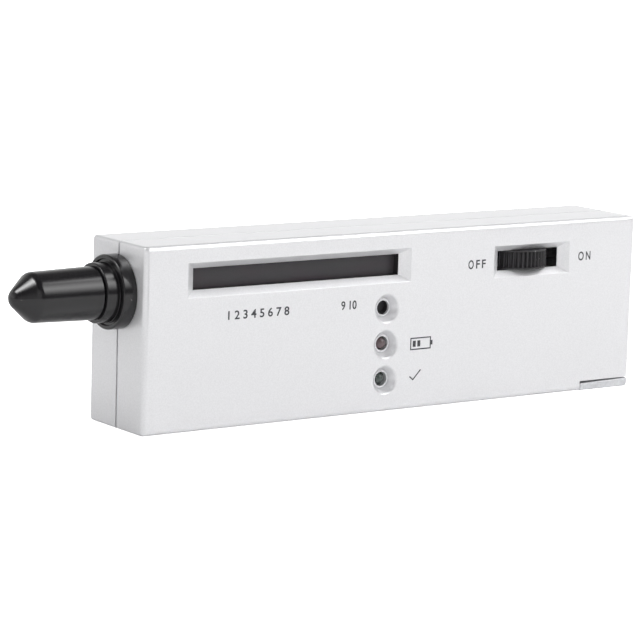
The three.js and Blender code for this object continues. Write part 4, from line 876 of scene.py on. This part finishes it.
class TESTER_OT_indicators(Operator):
    """Makes the two round indicator lamps with their flanges and legs"""
    bl_idname = "tester.indicators"
    bl_label = "Indicator lamps"

    def execute(self, context):
        ahead, lead_pitch, half = 0.9 * MM, 1.27 * MM, 0.25 * MM
        length, dome, flange, thick, edge = 5.2 * MM + ahead, 1.5 * MM, 1.9 * MM, 1.0 * MM, 0.2 * MM
        profile = [(0.0, -length), (flange, -length), (flange, -length + thick - edge),
                   (flange - edge, -length + thick), (dome, -length + thick), *arc(0.0, -dome, dome, 0, 90, 12)]
        for node, slot, name in (("battery_lamp", "clear_red", "battery_dome"),
                                 ("ready_lamp", "clear_green", "ready_dome")):
            low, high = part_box(node)
            x, z = middle(node).xz
            bm = turned(bmesh.new(), profile, SMALL_STEPS)
            laid(bm, FACING_FRONT, (x, low.y - ahead, z))
            for side in BOTH_SIDES:
                leg = z + side * lead_pitch
                block(bm, (x - half, low.y + length - ahead - half, leg - half), (x + half, high.y, leg + half))
            piece(name, bm, "case", slot, node)
        return {"FINISHED"}


class TESTER_OT_sounder(Operator):
    """Makes the sounder, whose snout fills the port, with its two pins"""
    bl_idname = "tester.sounder"
    bl_label = "Sounder"

    def execute(self, context):
        low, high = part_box("sounder")
        x, z = middle("sounder").xz
        radius, tall, snout, bore = (high.x - low.x) / 2 / MM, 9.5, 1.25, 1.5
        profile = [(0.0, -tall), *arc(radius - 0.4, 0.4 - tall, 0.4, -90, 0, 4),
                   *arc(radius - 0.5, -0.5, 0.5, 0, 90, 4), (1.72, 0.0), *arc(1.62, snout - 0.1, 0.1, 0, 90, 3),
                   (bore, snout), (bore, snout - 1.2), (0.0, snout - 1.2)]
        bm = laid(turned(bmesh.new(), in_mm(profile)), FACING_FRONT, (x, low.y, z))
        pin_radius, pin_pitch = 0.4, 3.25 * MM
        pin_length = (high.y - low.y) / MM - tall
        for side in BOTH_SIDES:
            pin = turned(bmesh.new(), in_mm([(0.0, 0.0), (pin_radius, 0.0), (pin_radius, pin_length),
                                             (0.0, pin_length)]), 24)
            add_to(bm, laid(pin, FACING_FRONT, (x + side * pin_pitch, low.y + tall * MM, z)))
        piece("round_sounder", bm, "case", "black_matt", "sounder")
        return {"FINISHED"}


# Fasteners and battery
class TESTER_OT_screws(Operator):
    """Makes the four case screws, with a cross in each head"""
    bl_idname = "tester.screws"
    bl_label = "Case screws"

    def execute(self, context):
        shank, tall, edge = 1.25 * MM, 1.7 * MM, 0.9 * MM
        arm, half, floor = 1.35 * MM, 0.38 * MM, 0.7 * MM
        for place in range(1, 5):
            node = f"case_screw_{place}"
            low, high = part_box(node)
            x, z = middle(node).xz
            head = (high.x - low.x) / 2
            length = high.y - low.y - tall
            profile = [(0.0, -length), (shank / 2, -length), (shank, shank - length), (shank, 0.0), (head, 0.0),
                       *arc(head - edge, 0.8 * MM, edge, 0, 90, 8), (0.0, tall)]
            bm = turned(bmesh.new(), profile, SMALL_STEPS)
            for wide, deep in ((arm, half), (half, arm)):
                bm = carved(bm, block(bmesh.new(), (-wide, -deep, floor), (wide, deep, tall + MM)))
            laid(bm, FACING_BACK, (x, high.y - tall, z))
            piece(f"cross_screw_{place}", bm, "case", "steel", node)
        return {"FINISHED"}


class TESTER_OT_battery(Operator):
    """Makes the block battery with a crimped jacket and its two snap terminals"""
    bl_idname = "tester.battery"
    bl_label = "Battery"

    def execute(self, context):
        low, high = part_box("battery")
        terminal = 2.1 * MM
        body_low = Vector((low.x + terminal, low.y, low.z))
        bm = block(bmesh.new(), body_low, high)
        soften(bm, [edge for edge in bm.edges if run_x(edge) > terminal], 2 * MM, 6)
        for end in (body_low.x, high.x):
            faces = [face for face in bm.faces if all(abs(vert.co.x - end) < WELD for vert in face.verts)]
            for width, depth in ((0.6 * MM, 0.0), (0.15 * MM, -0.35 * MM)):
                bmesh.ops.inset_region(bm, faces=faces, thickness=width, depth=depth, use_even_offset=True)
        centre = (body_low + high) / 2
        stud = [(0.0, -0.6), (2.75, -0.6), (2.55, 0.3), (2.3, 1.2), *arc(2.25, 1.6, 0.5, -20, 90, 5), (0.0, 2.1)]
        cup = [(3.05, -0.6), (4.1, -0.6), (4.1, 1.7), *arc(3.75, 1.75, 0.35, 0, 90, 4),
               *arc(3.4, 1.75, 0.35, 90, 180, 4)]
        pitch = 6.35 * MM
        for side, profile in ((1, stud), (-1, cup)):
            snap = turned(bmesh.new(), in_mm(profile), SMALL_STEPS)
            add_to(bm, laid(snap, FACING_LEFT, (body_low.x, centre.y, centre.z + side * pitch)))
        piece("block_battery", bm, "case", "battery_jacket", "battery")
        return {"FINISHED"}


# Printed marks: a letter's share of its font size, and how much its strokes are swollen
LETTER_SHARE = 0.7
SWELL = 0.068 * MM


def text_mesh(text, height, ink):
    """Letters as a closed shape that stands on y zero and faces +z."""
    curve = bpy.data.curves.new("mark", "FONT")
    curve.body = text
    curve.size = height / LETTER_SHARE
    curve.extrude = ink
    curve.offset = SWELL
    curve.resolution_u = 6
    holder = shown("mark", curve)
    bpy.context.view_layer.update()
    done = holder.evaluated_get(bpy.context.evaluated_depsgraph_get())
    mesh = bpy.data.meshes.new_from_object(done)
    bm = bmesh.new()
    bm.from_mesh(mesh)
    bpy.data.objects.remove(holder)
    bpy.data.curves.remove(curve)
    bpy.data.meshes.remove(mesh)
    bmesh.ops.remove_doubles(bm, verts=bm.verts, dist=WELD / 10)
    return bm


def fitted(bm, left, right, low, high):
    """Stretches a mark to a place on the front, in case millimetres, and stands it there."""
    xs = [vert.co.x for vert in bm.verts]
    ys = [vert.co.y for vert in bm.verts]
    across = (right - left) * MM / (max(xs) - min(xs))
    up = (high - low) * MM / (max(ys) - min(ys))
    bmesh.ops.translate(bm, vec=(-min(xs), -min(ys), 0), verts=bm.verts)
    bmesh.ops.scale(bm, vec=(across, up, 1), verts=bm.verts)
    return laid(bm, FACING_FRONT, at(left, 0, low))


def battery_sign(ink):
    """An outlined cell with a stud and two bars of charge."""
    bm = bmesh.new()
    width, height, line = 6.4 * MM, 3.2 * MM, 0.32 * MM
    bmesh.ops.create_grid(bm, x_segments=1, y_segments=1, size=0.5)
    bmesh.ops.scale(bm, vec=(width, height, 1), verts=bm.verts)
    bmesh.ops.translate(bm, vec=(width / 2, height / 2, 0), verts=bm.verts)
    rim = bmesh.ops.inset_region(bm, faces=bm.faces[:], thickness=line, use_boundary=True,
                                 use_even_offset=True)["faces"]
    bmesh.ops.delete(bm, geom=[face for face in bm.faces if face not in rim], context="FACES")
    raise_faces(bm, ink)
    for left, foot, right, top in ((6.4, 1.0, 6.9, 2.2), (0.8, 0.8, 1.7, 2.4), (2.2, 0.8, 3.1, 2.4)):
        block(bm, (left * MM, foot * MM, 0), (right * MM, top * MM, ink))
    return bm


def tick_sign(ink):
    """A tick of two strokes."""
    bm = bmesh.new()
    half = 0.16 * MM
    for reach, degrees in ((1.3 * MM, 140), (3.2 * MM, 48)):
        stroke = block(bmesh.new(), (-half, -half, 0), (reach, half, ink))
        add_to(bm, laid(stroke, Matrix.Rotation(math.radians(degrees), 3, "Z"), (0, 0, 0)))
    return bm


# Each word's letters with their left and right end, foot and top, in case millimetres
WORDS = {
    "mark_off": (("O", 94.95, 96.65, 34.12, 36.45), ("F", 97.4, 98.58, 34.2, 36.38),
                 ("F", 99.25, 100.45, 34.2, 36.38)),
    "mark_on": (("O", 130.65, 132.48, 34.26, 36.6), ("N", 133.2, 134.72, 34.32, 36.55)),
    "mark_low_numbers": (("1 2 3 4 5 6 7 8", 23.3, 40.9, 26.3, 28.5),),
    "mark_high_numbers": (("9 10", 56.2, 60.8, 26.4, 28.6),),
}
SIGNS = {"mark_battery": (battery_sign, 77.6, 84.5, 14.9, 18.0), "mark_ready": (tick_sign, 77.6, 81.2, 7.2, 9.9)}


class TESTER_OT_marks(Operator):
    """Prints the marks on the front: the switch's words, plain numbers and two signs at the lamps"""
    bl_idname = "tester.marks"
    bl_label = "Printed marks"

    def execute(self, context):
        size = context.scene.tester.marking
        ink = size.ink_depth
        for name, letters in WORDS.items():
            word = bmesh.new()
            for letter, *place in letters:
                add_to(word, fitted(text_mesh(letter, size.letter_height, ink), *place))
            piece(name, word, "case", "black_matt", ink="ink")
        for name, (sign, *place) in SIGNS.items():
            piece(name, fitted(sign(ink), *place), "case", "black_matt", ink="ink")
        return {"FINISHED"}


class TESTER_OT_inner_parts(Operator):
    """Gives every CAD node its finish, those inside the case included"""
    bl_idname = "tester.inner_parts"
    bl_label = "Inner parts"

    def execute(self, context):
        for part in frame["record"]["subparts"]:
            node = frame["nodes"][part["node"]]
            node.data.materials.clear()
            node.data.materials.append(finish_of(part["material_slot"]))
        return {"FINISHED"}


# Stage
# Each light: its setting, the way to it from the case, its distance, width and height, if matt and if glossy
# surfaces show it, and over which shares of its width it fades at left, right, foot and top
LIGHTS = (
    ("core_strength", (0.49, -0.62, 0.59), 1.45, 0.9, 1.3, True, True, (0.15, 0.15, 0.5, 0.46)),
    ("right_strength", (0.78, -0.12, 0.7), 1.5, 0.9, 0.9, True, False, None),
    ("side_strength", (-0.58, 0.12, 0.8), 1.5, 1.1, 0.55, False, True, (0.5, 0.5, 0.5, 0.5)),
    ("edge_strength", (0.57, -0.25, 0.78), 1.5, 0.6, 0.6, False, True, (0.2, 0.2, 0.2, 0.2)),
    ("left_strength", (-0.8, 0.15, 0.75), 1.5, 1.8, 1.2, True, False, None),
    ("front_strength", (-0.5, -1.0, 0.35), 0.75, 0.7, 0.4, True, False, None),
    ("fill_strength", (-0.75, -0.9, 0.3), 0.7, 0.54, 0.54, True, True, None),
)


def fade_light(data, fades):
    """Lets a light fade towards its edges: the share of its width at left, right, foot and top."""
    data.use_nodes = True
    tree = data.node_tree
    place = split(tree, placed(tree, "ShaderNodeNewGeometry").outputs["Parametric"])
    strength = 1.0
    for axis, low, high in (("X", *fades[:2]), ("Y", *fades[2:])):
        for ends in ((0.0, low, 0.0, 1.0), (1.0 - high, 1.0, 1.0, 0.0)):
            strength = arithmetic(tree, "MULTIPLY", strength, map_range(tree, place[axis], *ends))
    fill(tree, tree.nodes["Emission"], Strength=strength)


def area_light(name, radiance, direction, distance, width, height, matt, glossy, fades, aim):
    """A soft rectangle that faces the aim and is never seen by the camera."""
    data = bpy.data.lights.new(name, "AREA")
    data.shape = "RECTANGLE"
    data.size, data.size_y = width, height
    data.energy = radiance * width * height * math.pi
    if fades:
        fade_light(data, fades)
    lamp = shown(name, data)
    lamp.location = aim + Vector(direction).normalized() * distance
    lamp.rotation_euler = (aim - lamp.location).to_track_quat("-Z", "Y").to_euler()
    lamp.visible_camera = False
    lamp.visible_diffuse = matt
    lamp.visible_glossy = glossy


def surround(settings):
    """A pale surround: bright low behind the object, dim above and in front, white to the camera."""
    world = bpy.data.worlds.new("surround")
    world.use_nodes = True
    tree = world.node_tree
    way = split(tree, placed(tree, "ShaderNodeTexCoord").outputs["Generated"])
    dim = 0.12
    low = map_range(tree, way["Z"], 0.3, 0.75, 1.0, dim)
    behind = map_range(tree, way["Y"], -0.35, 0.25, dim, 1.0)
    seen = placed(tree, "ShaderNodeLightPath").outputs["Is Camera Ray"]
    shade = arithmetic(tree, "MULTIPLY", arithmetic(tree, "MULTIPLY", low, behind), settings.sky_strength)
    fill(tree, tree.nodes["Background"], Color=WHITE, Strength=arithmetic(tree, "MAXIMUM", shade, seen))
    bpy.context.scene.world = world


def floor_finish(settings):
    """Matt pale floor that the camera sees as paper white."""
    material = finish("floor_paper", settings.floor_colour, 0.9, 0.0, (300, 0.01, 0.02), (4, 0.005))
    tree = material.node_tree
    seen = placed(tree, "ShaderNodeLightPath").outputs["Is Camera Ray"]
    fill(tree, tree.nodes["Principled BSDF"], Emission_Color=WHITE, Emission_Strength=seen, Specular_IOR_Level=0.0)
    return material


class TESTER_OT_stage(Operator):
    """Sets the floor, the lights, the surround and the camera"""
    bl_idname = "tester.stage"
    bl_label = "Stage"

    def execute(self, context):
        settings = context.scene.tester.stage
        scene = context.scene
        bm = bmesh.new()
        bmesh.ops.create_grid(bm, x_segments=8, y_segments=8, size=settings.floor_size / 2)
        mesh = bpy.data.meshes.new("floor")
        bm.to_mesh(mesh)
        bm.free()
        mesh.materials.append(floor_finish(settings))
        shown("floor", mesh)
        surround(settings)
        aim = (CASE + CASE_FAR) / 2
        for setting, *place in LIGHTS:
            area_light(setting.replace("_strength", ""), getattr(settings, setting), *place, aim)
        data = bpy.data.cameras.new("camera")
        data.sensor_width = 36.0
        data.lens = settings.lens
        data.clip_start, data.clip_end = 0.05, 30.0
        camera = shown("camera", data)
        turn = (Matrix.Rotation(-settings.camera_yaw, 4, "Z")
                @ Matrix.Rotation(math.pi / 2 - settings.camera_pitch, 4, "X")
                @ Matrix.Rotation(settings.camera_roll, 4, "Z"))
        camera.matrix_world = Matrix.Translation(settings.camera_place) @ turn
        scene.camera = camera
        scene.view_settings.view_transform = "Standard"
        return {"FINISHED"}


OPERATORS = (
    TESTER_OT_inner_parts, TESTER_OT_covers, TESTER_OT_door, TESTER_OT_cap, TESTER_OT_collar, TESTER_OT_nose,
    TESTER_OT_spring, TESTER_OT_wheel, TESTER_OT_display, TESTER_OT_indicators, TESTER_OT_sounder,
    TESTER_OT_screws, TESTER_OT_battery, TESTER_OT_marks, TESTER_OT_stage,
)


class TESTER_PT_panel(Panel):
    """Lists the tester's pieces and settings"""
    bl_label = "Diamond tester"
    bl_idname = "TESTER_PT_panel"
    bl_space_type = "VIEW_3D"
    bl_region_type = "UI"
    bl_category = "Tester"

    def draw(self, context):
        for operator in OPERATORS:
            self.layout.operator(operator.bl_idname)
        for name in TesterSettings.__annotations__:
            box = self.layout.box()
            group = getattr(context.scene.tester, name)
            for setting in type(group).__annotations__:
                box.prop(group, setting)


CLASSES = (CaseSettings, ProbeSettings, WheelSettings, MarkingSettings, StageSettings, TesterSettings,
           *OPERATORS, TESTER_PT_panel)


def register():
    for each in CLASSES:
        bpy.utils.register_class(each)
    bpy.types.Scene.tester = PointerProperty(type=TesterSettings)


def unregister():
    del bpy.types.Scene.tester
    for each in reversed(CLASSES):
        bpy.utils.unregister_class(each)


def main():
    register()
    for operator in OPERATORS:
        group, name = operator.bl_idname.split(".")
        getattr(getattr(bpy.ops, group), name)()


if __name__ == "__main__":
    main()
